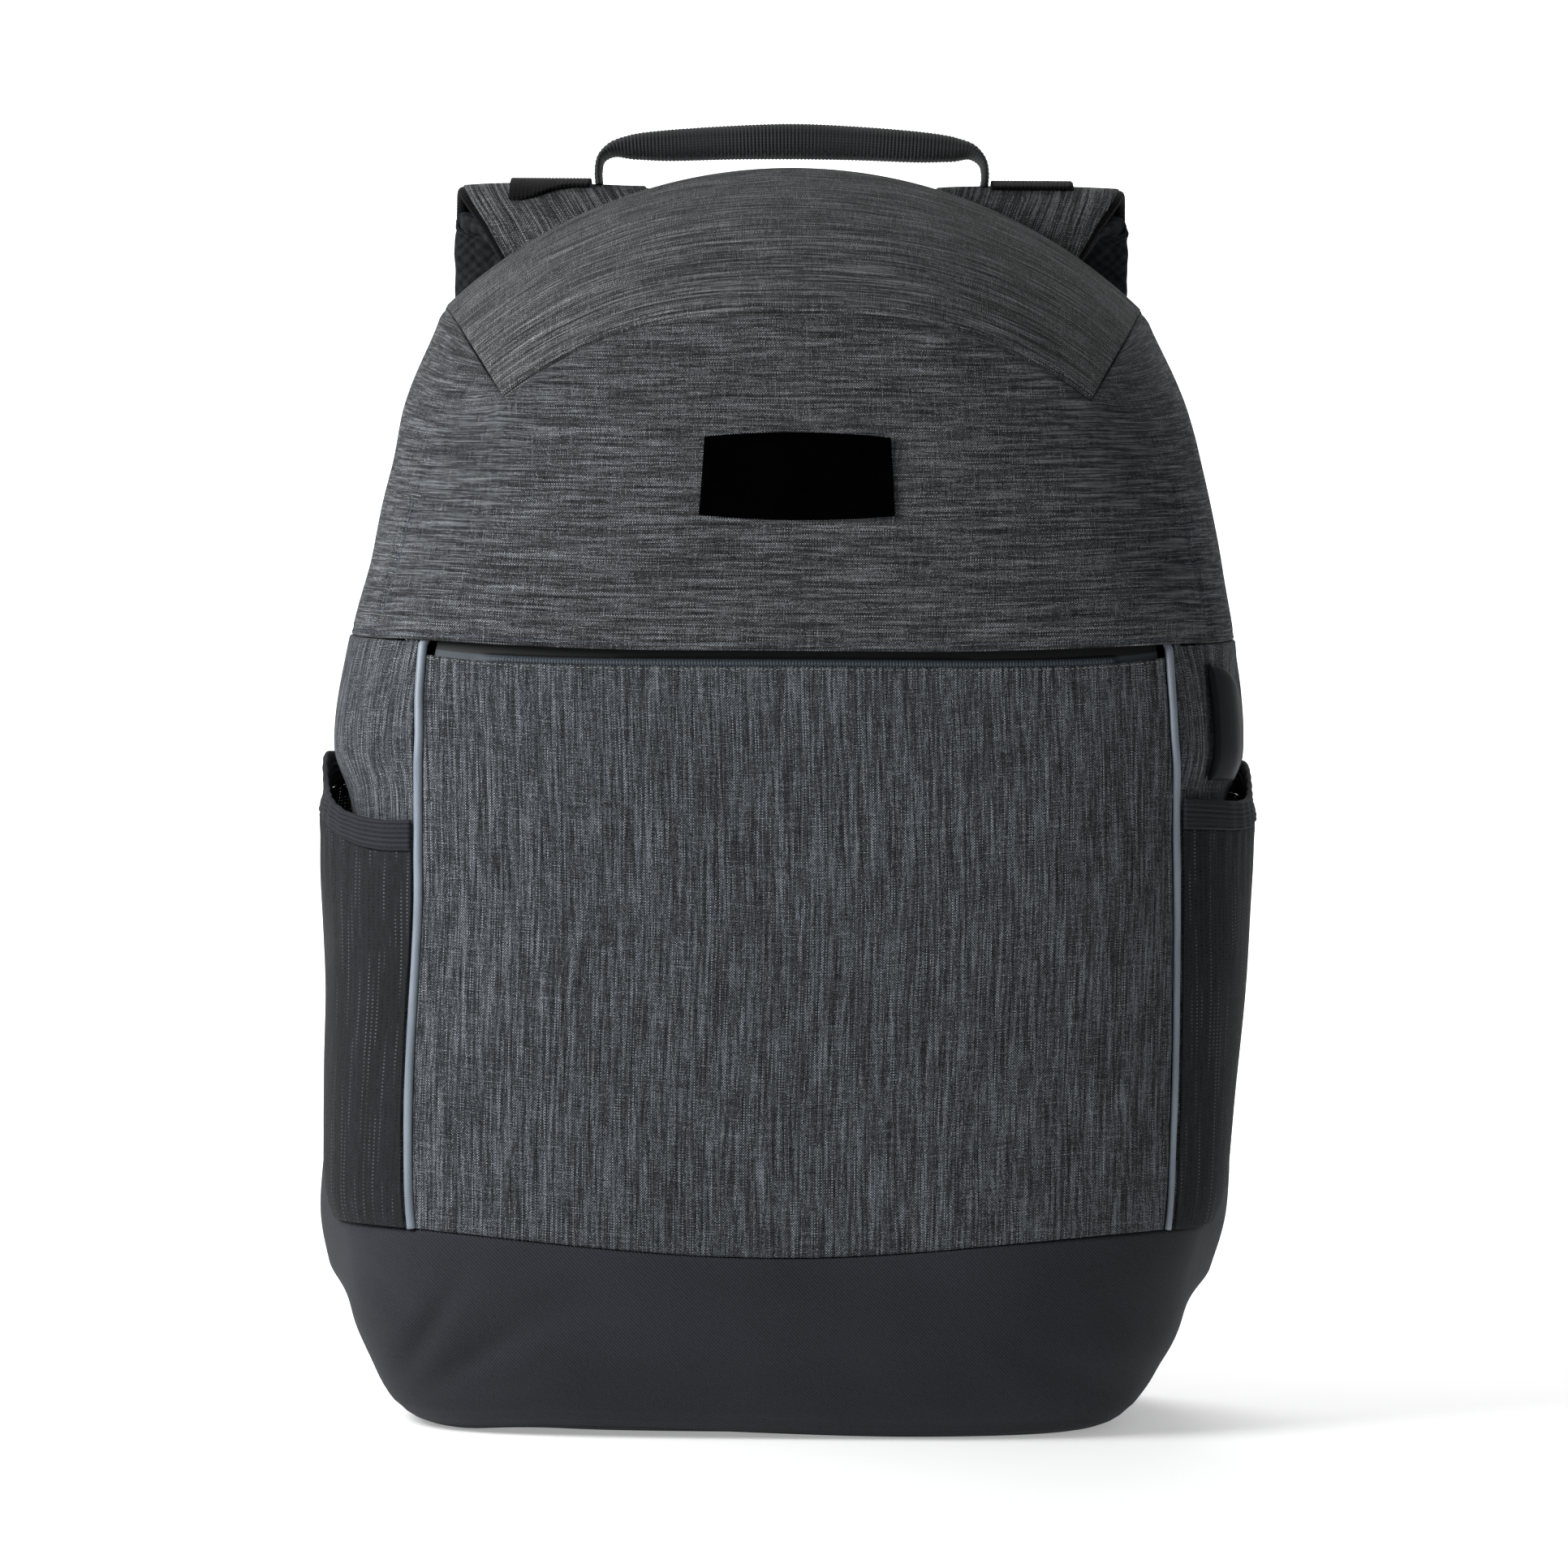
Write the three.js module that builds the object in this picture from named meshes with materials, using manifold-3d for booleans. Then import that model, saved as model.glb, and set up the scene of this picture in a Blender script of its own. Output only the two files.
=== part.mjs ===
// Anti-theft backpack: sewn panels around one hollow compartment, standing on its base.
// Millimetres, +Z up, the front of the bag faces -Y and +X is the viewer's right.
import * as THREE from "three";
import { mergeVertices } from "three/addons/utils/BufferGeometryUtils.js";
import Module from "manifold-3d";

const wasm = await Module();
wasm.setup();

// Cloth thicknesses and clearances
const CLOTH = 2.2;
const BASE_CLOTH = 3;
const BASE_BOTTOM = 4;
const MESH_CLOTH = 1;
const WEBBING = 1.5;
const GAP = 0.3;

// Depth of the bag: the rear rim is the plane where the front shell meets the back panel
const RIM_Y = 70;
const REAR_DEPTH = 64;
const FRONT_CROWN = 5;
const BACK_PANEL_THICK = 6;
const RIM_FOOT_Z = 6;

// Top of the bag
const ARCH_TOP_Z = 379.5;
const ARCH_DROP = 28.5;
const ARCH_S = 0.445;
const DART_REAR_Z = 392;
const RIM_PEAK_Z = 443;
const SHOULDER_Z = 312;
const GUSSET_BULGE = 9;
const DART_BULGE = 7;

// Seams on the body, by height
const HEM_Z = 263.8;
const HEM_SIDE_RISE = 10;
const HEM_LIFT = 2.9;
const POCKET_TOP_Z = 259;
const BASE_SEAM_Z = 62;
const BASE_SEAM_RISE = 8.5;
const BASE_SEAM_FLAT_S = 0.56;
const BASE_EAR_RISE = 32;
const BASE_EAR_BULGE = 6;

// Piping that edges the front pocket
const PIPING_S = 0.487;
const PIPING_RADIUS = 1.8;
const PIPING_SEAM = 2.2;
const PIPING_LINES = [
  { z: 62, left: 0.459, right: 0.517 },
  { z: 100, left: 0.474, right: 0.514 },
  { z: 140, left: 0.4785, right: 0.512 },
  { z: 180, left: 0.4735, right: 0.509 },
  { z: 200, left: 0.474, right: 0.5055 },
  { z: 216, left: 0.4715, right: 0.5 },
  { z: 232, left: 0.463, right: 0.4865 },
  { z: 250, left: 0.47, right: 0.485 },
  { z: 266, left: 0.477, right: 0.4875 },
];

// Side pockets
const MOUTH_LEFT = { front: 207, rise: 24, from: 0.5, to: 0.8 };
const MOUTH_RIGHT = { front: 216, rise: 14, from: 0.58, to: 0.85 };
const MESH_BELLY = 11.5;
const ELASTIC_TALL = 10.5;
const ELASTIC_THICK = 2.2;

// Small fittings
const LABEL = { left: -0.134, right: 0.132, low: 309.5, high: 336, thick: 1.2 };
const USB = { s: 0.6, wide: 27, low: 222, straight: 22, arch: 17, proud: 1.5 };
const BINDING_RADIUS = 2;

// Shoulder straps, as layers on either side of the line that runs through them
const STRAP_FACE = { out: 5, inn: 3.6 };
const STRAP_PAD = { out: 3.3, inn: -4.2 };
const TAB = { out: 6.9, inn: 5.3, near: 73.2, far: 103 };
const ADJUSTER = { x: 81, y: 101, low: 103.6, tall: 25.6, half: 15.4, thick: 3.2, bar: 3.2 };
const WEBBING_HALF = 11.4;

// Sections of the body. lean: sideways shift, half: half width, front: front face,
// widest: depth of the widest line, square: squareness of the corners
const BODY_SECTIONS = [
  { z: 0, lean: -7, half: 117, front: -47, widest: 25, square: 4.4 },
  { z: 3, lean: -7, half: 123.5, front: -53.5, widest: 25, square: 4.4 },
  { z: 9, lean: -7, half: 130, front: -59, widest: 25, square: 4.3 },
  { z: 20, lean: -6.5, half: 136.5, front: -63.5, widest: 25, square: 4.2 },
  { z: 34, lean: -6, half: 143, front: -66, widest: 25, square: 4.2 },
  { z: 52, lean: -5.5, half: 147.5, front: -67, widest: 25, square: 4.2 },
  { z: 74, lean: -4, half: 152, front: -68, widest: 25, square: 4.2 },
  { z: 100, lean: -2.5, half: 151, front: -69, widest: 25, square: 4.3 },
  { z: 150, lean: -0.5, half: 149.5, front: -70, widest: 25, square: 4.3 },
  { z: 200, lean: 0, half: 150, front: -69.5, widest: 25, square: 4.3 },
  { z: 216, lean: 0.1, half: 152, front: -69, widest: 25, square: 4.3 },
  { z: 232, lean: 0.3, half: 157.5, front: -68, widest: 25, square: 4.2 },
  { z: 265, lean: 1.2, half: 154.5, front: -65, widest: 26, square: 4 },
  { z: 300, lean: 2.5, half: 148, front: -59.5, widest: 30, square: 3.7 },
  { z: 330, lean: 2.8, half: 143, front: -53, widest: 35, square: 3.4 },
  { z: 355, lean: 2.2, half: 141, front: -46, widest: 40, square: 3.1 },
  { z: 380, lean: 1.5, half: 133.5, front: -38, widest: 46, square: 2.9 },
  { z: 396, lean: 1, half: 126, front: -32, widest: 50, square: 2.8 },
];

// Line of the right shoulder strap, from its seam on the back panel over the crest to its lower end
const STRAP_LINE = [
  { x: 62, y: 81.8, z: 385, half: 29 },
  { x: 70.5, y: 82, z: 404, half: 30 },
  { x: 79, y: 83.5, z: 421, half: 32 },
  { x: 85, y: 89, z: 430.3, half: 33.5 },
  { x: 87, y: 97, z: 433.4, half: 34 },
  { x: 88, y: 105, z: 429.4, half: 34 },
  { x: 88.5, y: 109.5, z: 418, half: 34 },
  { x: 88.5, y: 111.5, z: 395, half: 33.5 },
  { x: 88, y: 113.5, z: 355, half: 33 },
  { x: 87, y: 114, z: 300, half: 32 },
  { x: 85, y: 111, z: 235, half: 29.5 },
  { x: 82.5, y: 106, z: 180, half: 27 },
  { x: 81, y: 101.6, z: 146, half: 23 },
];
const STRAP_STEPS = 22;
const STRAP_CREST = 4;

// Line of the carry handle from foot to foot. deep and tall: half sizes of its section
const HANDLE_Y = 97;
const HANDLE_LINE = [
  { x: -70.4, z: 439, deep: 10.5, tall: 1.4 },
  { x: -70.8, z: 444.2, deep: 10.5, tall: 1.4 },
  { x: -69.8, z: 449.3, deep: 10, tall: 1.6 },
  { x: -65.5, z: 452.6, deep: 9, tall: 2.8 },
  { x: -58, z: 453.6, deep: 8, tall: 4.6 },
  { x: -45, z: 454.2, deep: 7.5, tall: 5.7 },
  { x: -21, z: 455.4, deep: 7.5, tall: 6.2 },
  { x: 1, z: 455.9, deep: 7.5, tall: 6.5 },
  { x: 23, z: 455.4, deep: 7.5, tall: 6.2 },
  { x: 46, z: 454.2, deep: 7.5, tall: 5.7 },
  { x: 59, z: 453.4, deep: 8, tall: 4.6 },
  { x: 66.2, z: 452.4, deep: 9, tall: 2.8 },
  { x: 70.2, z: 448.8, deep: 10, tall: 1.6 },
  { x: 71.2, z: 444.2, deep: 10.5, tall: 1.4 },
  { x: 70.8, z: 439, deep: 10.5, tall: 1.4 },
];

// Line of the right lower webbing: from its anchor up round the adjuster's lowest bar, then its free end
const WEBBING_LINE = [
  { x: 109, y: 77.6, z: 42.8 },
  { x: 107, y: 79.4, z: 56 },
  { x: 99, y: 87, z: 76 },
  { x: 88, y: 95, z: 93 },
  { x: 81.6, y: 98, z: 101.5 },
  { x: 81, y: 98.3, z: 107.3 },
  { x: 81, y: 101, z: 109.4 },
  { x: 81, y: 103.7, z: 107.3 },
  { x: 81, y: 104.2, z: 99 },
  { x: 80.7, y: 105.4, z: 72 },
  { x: 80.4, y: 106, z: 46 },
  { x: 80.2, y: 106, z: 24 },
];

// Line of the webbing loop that ties the strap's end to the adjuster's top bar
const LOOP_LINE = [
  { x: 81, y: 98.8, z: 145 },
  { x: 81, y: 98, z: 134 },
  { x: 81, y: 98.3, z: 125.5 },
  { x: 81, y: 101, z: 123.4 },
  { x: 81, y: 103.7, z: 125.5 },
  { x: 81, y: 104, z: 134 },
  { x: 81, y: 103.7, z: 144.4 },
];

// Finishes
function cloth(color, roughness) {
  return new THREE.MeshStandardMaterial({ color, roughness, metalness: 0 });
}
const HEATHER = cloth(0x45484b, 0.92);
const TWILL = cloth(0x26282d, 0.85);
const BLACK_MESH = cloth(0x1d1f25, 0.9);
const BLACK_WEBBING = cloth(0x1c1d1e, 0.8);
const GRIP_WEBBING = cloth(0x2b2d2e, 0.8);
const REFLECTIVE = cloth(0x8590a0, 0.45);
const LABEL_BLACK = cloth(0x050505, 0.55);
const PLASTIC = cloth(0x222429, 0.45);

// A smooth curve through one named column of a table, read at a value of its key column
function readColumn(rows, key, column, at) {
  const last = rows.length - 1;
  let i = 0;
  while (i < last - 1 && at > rows[i + 1][key]) {
    i += 1;
  }
  const slope = (k) => {
    const before = rows[Math.max(k - 1, 0)];
    const after = rows[Math.min(k + 1, last)];
    return (after[column] - before[column]) / (after[key] - before[key]);
  };
  const span = rows[i + 1][key] - rows[i][key];
  const t = THREE.MathUtils.clamp((at - rows[i][key]) / span, 0, 1);
  const rise = t * t * (3 - 2 * t);
  const leave = t * (1 - t) * (1 - t) * span * slope(i);
  const arrive = t * t * (t - 1) * span * slope(i + 1);
  return rows[i][column] + (rows[i + 1][column] - rows[i][column]) * rise + leave + arrive;
}

// Right half of the body's outline at one height, from the middle of the front to the rear rim
const OUTLINE_STEPS = 120;
const outlines = new Map();

function outlineAt(z) {
  if (outlines.has(z)) {
    return outlines.get(z);
  }
  const read = (column) => readColumn(BODY_SECTIONS, "z", column, z);
  const half = read("half");
  const widest = read("widest");
  const power = 2 / read("square");
  const frontDepth = widest - read("front");
  const tuck = Math.pow((RIM_Y - widest) / REAR_DEPTH, 1 / power);
  const lastAngle = Math.PI / 2 + Math.asin(tuck);
  const points = [];
  const lengths = [0];
  for (let i = 0; i <= OUTLINE_STEPS; i += 1) {
    const angle = (lastAngle * i) / OUTLINE_STEPS;
    const across = Math.pow(Math.sin(angle), power);
    const along = Math.pow(Math.abs(Math.cos(angle)), power);
    const forward = frontDepth * along + FRONT_CROWN * along * (1 - across * across);
    const y = angle < Math.PI / 2 ? widest - forward : widest + REAR_DEPTH * along;
    points.push(new THREE.Vector2(half * across, y));
    if (i > 0) {
      lengths.push(lengths[i - 1] + points[i].distanceTo(points[i - 1]));
    }
  }
  const outline = { points, lengths, length: lengths[OUTLINE_STEPS], lean: read("lean") };
  outlines.set(z, outline);
  return outline;
}

// Point of the outline: s runs from -1 at the left rim through 0 at the front to 1 at the right rim
function outlinePoint(s, z) {
  const { points, lengths, length, lean } = outlineAt(z);
  const wanted = Math.min(Math.abs(s), 1) * length;
  let i = 1;
  while (i < OUTLINE_STEPS && lengths[i] < wanted) {
    i += 1;
  }
  const t = (wanted - lengths[i - 1]) / (lengths[i] - lengths[i - 1]);
  const flat = points[i - 1].clone().lerp(points[i], t);
  return new THREE.Vector3(Math.sign(s) * flat.x + lean, flat.y, z);
}

// The share of the outline that a length along the cloth takes up at a height
function share(length, z) {
  return length / outlineAt(z).length;
}

// The dart at each end of the gusset, from the arched seam's corner back to the rear rim
function dartDirection(side) {
  return new THREE.Vector3(side * 0.5, -0.25, 0.83).normalize();
}

function dartPoint(side, t) {
  const corner = outlinePoint(side * ARCH_S, ARCH_TOP_Z - ARCH_DROP);
  const rear = outlinePoint(side, DART_REAR_Z);
  const bulge = dartDirection(side).multiplyScalar(DART_BULGE * 4 * t * (1 - t));
  return corner.lerp(rear, t).add(bulge);
}

// Height of the hood's upper edge: the arched seam in front, the darts at the sides
function topZ(s) {
  const reach = Math.abs(s) / ARCH_S;
  if (reach <= 1) {
    return ARCH_TOP_Z - ARCH_DROP * Math.pow(reach, 3);
  }
  return dartPoint(Math.sign(s), (Math.abs(s) - ARCH_S) / (1 - ARCH_S)).z;
}

// The body's surface, whose shoulders roll in to the darts
function bodyPoint(s, z) {
  const point = outlinePoint(s, z);
  if (Math.abs(s) <= ARCH_S || z <= SHOULDER_Z) {
    return point;
  }
  const top = dartPoint(Math.sign(s), (Math.abs(s) - ARCH_S) / (1 - ARCH_S));
  const roll = top.clone().sub(outlinePoint(s, top.z));
  const reach = THREE.MathUtils.clamp((z - SHOULDER_Z) / (top.z - SHOULDER_Z), 0, 1);
  return point.addScaledVector(roll, Math.pow(reach, 2.4));
}

function bodyNormal(s, z) {
  const along = bodyPoint(Math.min(s + 0.006, 1), z).sub(bodyPoint(Math.max(s - 0.006, -1), z));
  const up = bodyPoint(s, z + 0.8).sub(bodyPoint(s, Math.max(z - 0.8, 0)));
  return along.cross(up).normalize();
}

function skin(s, z, offset) {
  return bodyPoint(s, z).addScaledVector(bodyNormal(s, z), offset);
}

// The gusset's surface: u runs from -1 to 1 across the bag, t from the arched seam to the rear rim
function rimArch(u) {
  const right = outlinePoint(1, DART_REAR_Z);
  const left = outlinePoint(-1, DART_REAR_Z);
  const chord = (right.x - left.x) / 2;
  const rise = RIM_PEAK_Z - DART_REAR_Z;
  const radius = (chord * chord + rise * rise) / (2 * rise);
  const angle = u * Math.asin(chord / radius);
  const middle = (right.x + left.x) / 2;
  return new THREE.Vector3(
    middle + radius * Math.sin(angle),
    RIM_Y,
    RIM_PEAK_Z - radius + radius * Math.cos(angle),
  );
}

function gussetPoint(u, t) {
  const front = outlinePoint(u * ARCH_S, topZ(u * ARCH_S));
  const ends = Math.pow(Math.abs(u), 3);
  const middle = new THREE.Vector3(0, -0.45, 0.89);
  const direction = middle.lerp(dartDirection(Math.sign(u)), ends).normalize();
  const bulge = THREE.MathUtils.lerp(GUSSET_BULGE, DART_BULGE, ends) * 4 * t * (1 - t);
  return front.lerp(rimArch(u), t).addScaledVector(direction, bulge);
}

function gussetNormal(u, t) {
  const across = gussetPoint(Math.min(u + 0.01, 1), t).sub(gussetPoint(Math.max(u - 0.01, -1), t));
  const back = gussetPoint(u, Math.min(t + 0.01, 1)).sub(gussetPoint(u, Math.max(t - 0.01, 0)));
  return across.cross(back).normalize();
}

// Direction of the mitre where the hood and the gusset meet, scaled to keep the cloth's thickness
function mitre(one, other) {
  const middle = one.clone().add(other).normalize();
  return middle.multiplyScalar(1 / Math.max(middle.dot(one), 0.6));
}

function hoodSeamMitre(s) {
  const reach = Math.abs(s) / ARCH_S;
  const side = Math.sign(s);
  const own = bodyNormal(s, topZ(s) - 0.8);
  if (reach <= 1) {
    return mitre(own, gussetNormal(s / ARCH_S, 0));
  }
  return mitre(own, gussetNormal(side, (Math.abs(s) - ARCH_S) / (1 - ARCH_S)));
}

// Seams on the body's surface
function hemZ(s) {
  return HEM_Z + HEM_SIDE_RISE * THREE.MathUtils.smoothstep(Math.abs(s), 0.15, 1);
}

function pocketTopZ(s) {
  return POCKET_TOP_Z + 4.6 * Math.pow(Math.abs(s) / PIPING_S, 5);
}

function baseSeamZ(s) {
  const reach = Math.min(Math.abs(s) / BASE_SEAM_FLAT_S, 1);
  const front = BASE_SEAM_RISE * Math.pow(Math.sin((reach * Math.PI) / 2), 2);
  return BASE_SEAM_Z + front + BASE_EAR_RISE * THREE.MathUtils.smoothstep(Math.abs(s), 0.6, 0.84);
}

function meshTopZ(s) {
  const { front, rise, from, to } = s < 0 ? MOUTH_LEFT : MOUTH_RIGHT;
  return front + rise * THREE.MathUtils.smoothstep(Math.abs(s), from, to);
}

// The pipings stay upright, while the body between them swells and leans to the left
function pipingS(side, z) {
  return readColumn(PIPING_LINES, "z", side < 0 ? "left" : "right", z);
}

// The side pockets end one column short of the rear rim
const SIDE_COLUMNS = 10;
const MESH_COLUMNS = SIDE_COLUMNS - 1;
const MESH_REAR_S = PIPING_S + ((1 - PIPING_S) * MESH_COLUMNS) / SIDE_COLUMNS;

// How far a side pocket stands off the side panel, flat at its edges and open at its mouth
function meshBelly(s, z) {
  const from = pipingS(Math.sign(s), z) + 0.012;
  const reach = THREE.MathUtils.clamp((Math.abs(s) - from) / (MESH_REAR_S - from), 0, 1);
  const across = Math.sin(Math.PI * reach);
  const low = baseSeamZ(s);
  const up = THREE.MathUtils.clamp((z - low) / (meshTopZ(s) - low), 0, 1);
  const gathered = 1 - 0.15 * THREE.MathUtils.smoothstep(up, 0.75, 1);
  const drawn = 1 - 0.7 * THREE.MathUtils.smoothstep(z, 206, 230);
  return MESH_BELLY * Math.pow(across, 0.8) * Math.pow(up, 0.45) * gathered * drawn;
}

// Faces turned so that they point out of the solid
function outward(geometry) {
  const corners = geometry.index.array;
  const place = geometry.attributes.position;
  const [a, b, c] = [new THREE.Vector3(), new THREE.Vector3(), new THREE.Vector3()];
  let volume = 0;
  for (let i = 0; i < corners.length; i += 3) {
    a.fromBufferAttribute(place, corners[i]);
    b.fromBufferAttribute(place, corners[i + 1]);
    c.fromBufferAttribute(place, corners[i + 2]);
    volume += a.dot(b.cross(c));
  }
  if (volume < 0) {
    for (let i = 0; i < corners.length; i += 3) {
      [corners[i + 1], corners[i + 2]] = [corners[i + 2], corners[i + 1]];
    }
  }
  return geometry;
}

function fromPoints(points, index) {
  const geometry = new THREE.BufferGeometry();
  geometry.setAttribute("position", new THREE.Float32BufferAttribute(points.flatMap((p) => p.toArray()), 3));
  geometry.setIndex(index);
  return outward(geometry);
}

// A sheet of cloth: a grid of points on its outer face, the same grid on its inner face, and its edges
function sheet(columns, rows, outer, inner) {
  const points = [];
  const index = [];
  const size = (columns + 1) * (rows + 1);
  const at = (i, j) => i * (rows + 1) + j;
  for (const face of [outer, inner]) {
    for (let i = 0; i <= columns; i += 1) {
      for (let j = 0; j <= rows; j += 1) {
        points.push(face(i / columns, j / rows));
      }
    }
  }
  const quad = (a, b, c, d) => index.push(a, b, c, a, c, d);
  for (let i = 0; i < columns; i += 1) {
    for (let j = 0; j < rows; j += 1) {
      quad(at(i, j), at(i + 1, j), at(i + 1, j + 1), at(i, j + 1));
      quad(size + at(i, j), size + at(i, j + 1), size + at(i + 1, j + 1), size + at(i + 1, j));
    }
    quad(at(i, 0), size + at(i, 0), size + at(i + 1, 0), at(i + 1, 0));
    quad(at(i, rows), at(i + 1, rows), size + at(i + 1, rows), size + at(i, rows));
  }
  for (let j = 0; j < rows; j += 1) {
    quad(at(0, j), at(0, j + 1), size + at(0, j + 1), size + at(0, j));
    quad(at(columns, j), size + at(columns, j), size + at(columns, j + 1), at(columns, j + 1));
  }
  return fromPoints(points, index);
}

// Columns of a panel that runs from rim to rim, given by its runs from the middle of the front outwards
function rimToRim(right, left = right) {
  const reached = (runs) => {
    const places = [];
    let from = 0;
    for (const { to, columns } of runs) {
      for (let i = 1; i <= columns; i += 1) {
        places.push(THREE.MathUtils.lerp(from, to, i / columns));
      }
      from = to;
    }
    return places;
  };
  const stations = [...reached(left).map((s) => -s).reverse(), 0, ...reached(right)];
  const columns = stations.length - 1;
  return { columns, across: (u) => stations[Math.round(u * columns)] };
}

// A panel on the body between two edges across and two edges up, with an offset for each face
function bodyPanel(columns, rows, across, low, high, outer, inner) {
  const place = (offset) => (u, v) => {
    const middle = THREE.MathUtils.lerp(low(across(u, 200)), high(across(u, 200)), v);
    const s = across(u, middle);
    const z = THREE.MathUtils.lerp(low(s), high(s), v);
    return skin(s, z, offset(s, z));
  };
  return sheet(columns, rows, place(outer), place(inner));
}

// A solid that runs through rings of points, closed at both ends
function ringLoft(rings) {
  const count = rings[0].length;
  const last = rings.length - 1;
  const points = rings.flat();
  const index = [];
  for (let i = 0; i < last; i += 1) {
    for (let k = 0; k < count; k += 1) {
      const a = i * count + k;
      const b = i * count + ((k + 1) % count);
      index.push(a, b, b + count, a, b + count, a + count);
    }
  }
  for (let k = 1; k < count - 1; k += 1) {
    index.push(0, k + 1, k);
    index.push(last * count, last * count + k, last * count + k + 1);
  }
  return fromPoints(points, index);
}

// A band of webbing or padding along a table of points, flat across X, between two offsets from its line
function bandPlace(rows) {
  const line = new THREE.CatmullRomCurve3(rows.map((row) => new THREE.Vector3(row.x, row.y, row.z)));
  const numbered = rows.map((row, i) => ({ ...row, i }));
  return (t, across, offset) => {
    const along = line.getTangent(t);
    const out = new THREE.Vector3(0, -along.z, along.y).normalize();
    const half = readColumn(numbered, "i", "half", t * (rows.length - 1));
    const point = line.getPoint(t).addScaledVector(out, offset);
    point.x += across * half;
    return point;
  };
}

function band(rows, steps, across, out, inn) {
  const place = bandPlace(rows);
  const face = (offset) => (u, v) => place(u, v * 2 - 1, offset);
  return sheet(steps, across, face(out), face(inn));
}

function tube(points, radius, sides, steps) {
  const curve = new THREE.CatmullRomCurve3(points);
  const round = new THREE.Shape();
  for (let k = 0; k < sides; k += 1) {
    const angle = (2 * Math.PI * k) / sides;
    const [x, y] = [radius * Math.cos(angle), radius * Math.sin(angle)];
    if (k === 0) {
      round.moveTo(x, y);
    } else {
      round.lineTo(x, y);
    }
  }
  return new THREE.ExtrudeGeometry(round, { extrudePath: curve, steps, curveSegments: 1 });
}

function welded(geometry) {
  const plain = geometry.clone();
  plain.deleteAttribute("normal");
  plain.deleteAttribute("uv");
  return mergeVertices(plain, 1e-3);
}

function solid(geometry) {
  const plain = welded(geometry);
  return new wasm.Manifold(
    new wasm.Mesh({
      numProp: 3,
      vertProperties: new Float32Array(plain.attributes.position.array),
      triVerts: new Uint32Array(plain.index.array),
    }),
  );
}

function fromSolid(body) {
  const { vertProperties, triVerts } = body.getMesh();
  const geometry = new THREE.BufferGeometry();
  geometry.setAttribute("position", new THREE.Float32BufferAttribute(vertProperties, 3));
  geometry.setIndex([...triVerts]);
  return geometry;
}

function box(low, high) {
  const size = high.clone().sub(low);
  const middle = high.clone().add(low).multiplyScalar(0.5);
  return new THREE.BoxGeometry(size.x, size.y, size.z).translate(middle.x, middle.y, middle.z);
}

function mirrored(geometry) {
  return outward(welded(geometry).scale(-1, 1, 1));
}

const group = new THREE.Group();

function add(name, geometry, material) {
  const mesh = new THREE.Mesh(geometry, material);
  mesh.name = name;
  group.add(mesh);
}

function addPair(name, geometry, material) {
  add(`${name}_right`, geometry, material);
  add(`${name}_left`, mirrored(geometry), material);
}

// Columns that neighbouring panels share, so that their seams follow each other
const POCKET_COLUMNS = 16;
const SEAM_CLEAR = 0.3;

// Hood: its hem stands proud over the pocket's slot and lies flush on the side panels
function hoodOffset(s, z) {
  const front = 1 - THREE.MathUtils.smoothstep(Math.abs(s), PIPING_S, PIPING_S + 0.1);
  return HEM_LIFT * front * (1 - THREE.MathUtils.smoothstep(z, hemZ(s) + 8, hemZ(s) + 32));
}

const ARCH_STEPS = 16;
const DART_STEPS = SIDE_COLUMNS + 1;
const hoodColumns = rimToRim([
  { to: ARCH_S, columns: ARCH_STEPS / 2 },
  { to: PIPING_S, columns: 1 },
  { to: 1, columns: SIDE_COLUMNS },
]);

function hoodFace(inner) {
  return (u, v) => {
    const s = hoodColumns.across(u);
    const z = THREE.MathUtils.lerp(hemZ(s), topZ(s) - 0.3, v);
    const face = skin(s, z, hoodOffset(s, z));
    if (!inner) {
      return face;
    }
    const way = v === 1 ? hoodSeamMitre(s) : bodyNormal(s, z);
    return face.addScaledVector(way, -CLOTH);
  };
}
add("hood_panel", sheet(hoodColumns.columns, 8, hoodFace(false), hoodFace(true)), HEATHER);

// Gusset, with mitred edges along the arched seam and the darts
function gussetFace(inner) {
  return (a, b) => {
    const u = (a * 2 - 1) * 0.996;
    const t = THREE.MathUtils.lerp(0.004, 1, b);
    const face = gussetPoint(u, t);
    if (!inner) {
      return face;
    }
    const side = Math.sign(u);
    let way = gussetNormal(u, t);
    if (b === 0) {
      way = hoodSeamMitre(u * ARCH_S);
    } else if (a === 0 || a === 1) {
      way = hoodSeamMitre(side * THREE.MathUtils.lerp(ARCH_S, 1, t));
    }
    if (b === 1) {
      way.y = 0;
      way.normalize();
    }
    return face.addScaledVector(way, -CLOTH);
  };
}
add("top_gusset", sheet(ARCH_STEPS, DART_STEPS, gussetFace(false), gussetFace(true)), HEATHER);

// Front pocket panel between the two pipings, and the zip behind its upper edge
const betweenPipings = (u, z, clear) => {
  const left = -pipingS(-1, z) + share(clear, z);
  const right = pipingS(1, z) - share(clear, z);
  return THREE.MathUtils.lerp(left, right, u);
};
const pocketLow = (s) => baseSeamZ(s) + SEAM_CLEAR;
const pocketAcross = (u, z) => betweenPipings(u, z, PIPING_SEAM);
add(
  "front_pocket_panel",
  bodyPanel(POCKET_COLUMNS, 7, pocketAcross, pocketLow, pocketTopZ, () => 0, () => -CLOTH),
  HEATHER,
);
const zipAcross = (u, z) => betweenPipings(u, z, 4);
const zipLow = (s) => pocketTopZ(s) - 8;
const zipHigh = (s) => hemZ(s) + 5;
add(
  "pocket_zip",
  bodyPanel(POCKET_COLUMNS, 2, zipAcross, zipLow, zipHigh, () => -2.8, () => -4.2),
  BLACK_WEBBING,
);

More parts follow.
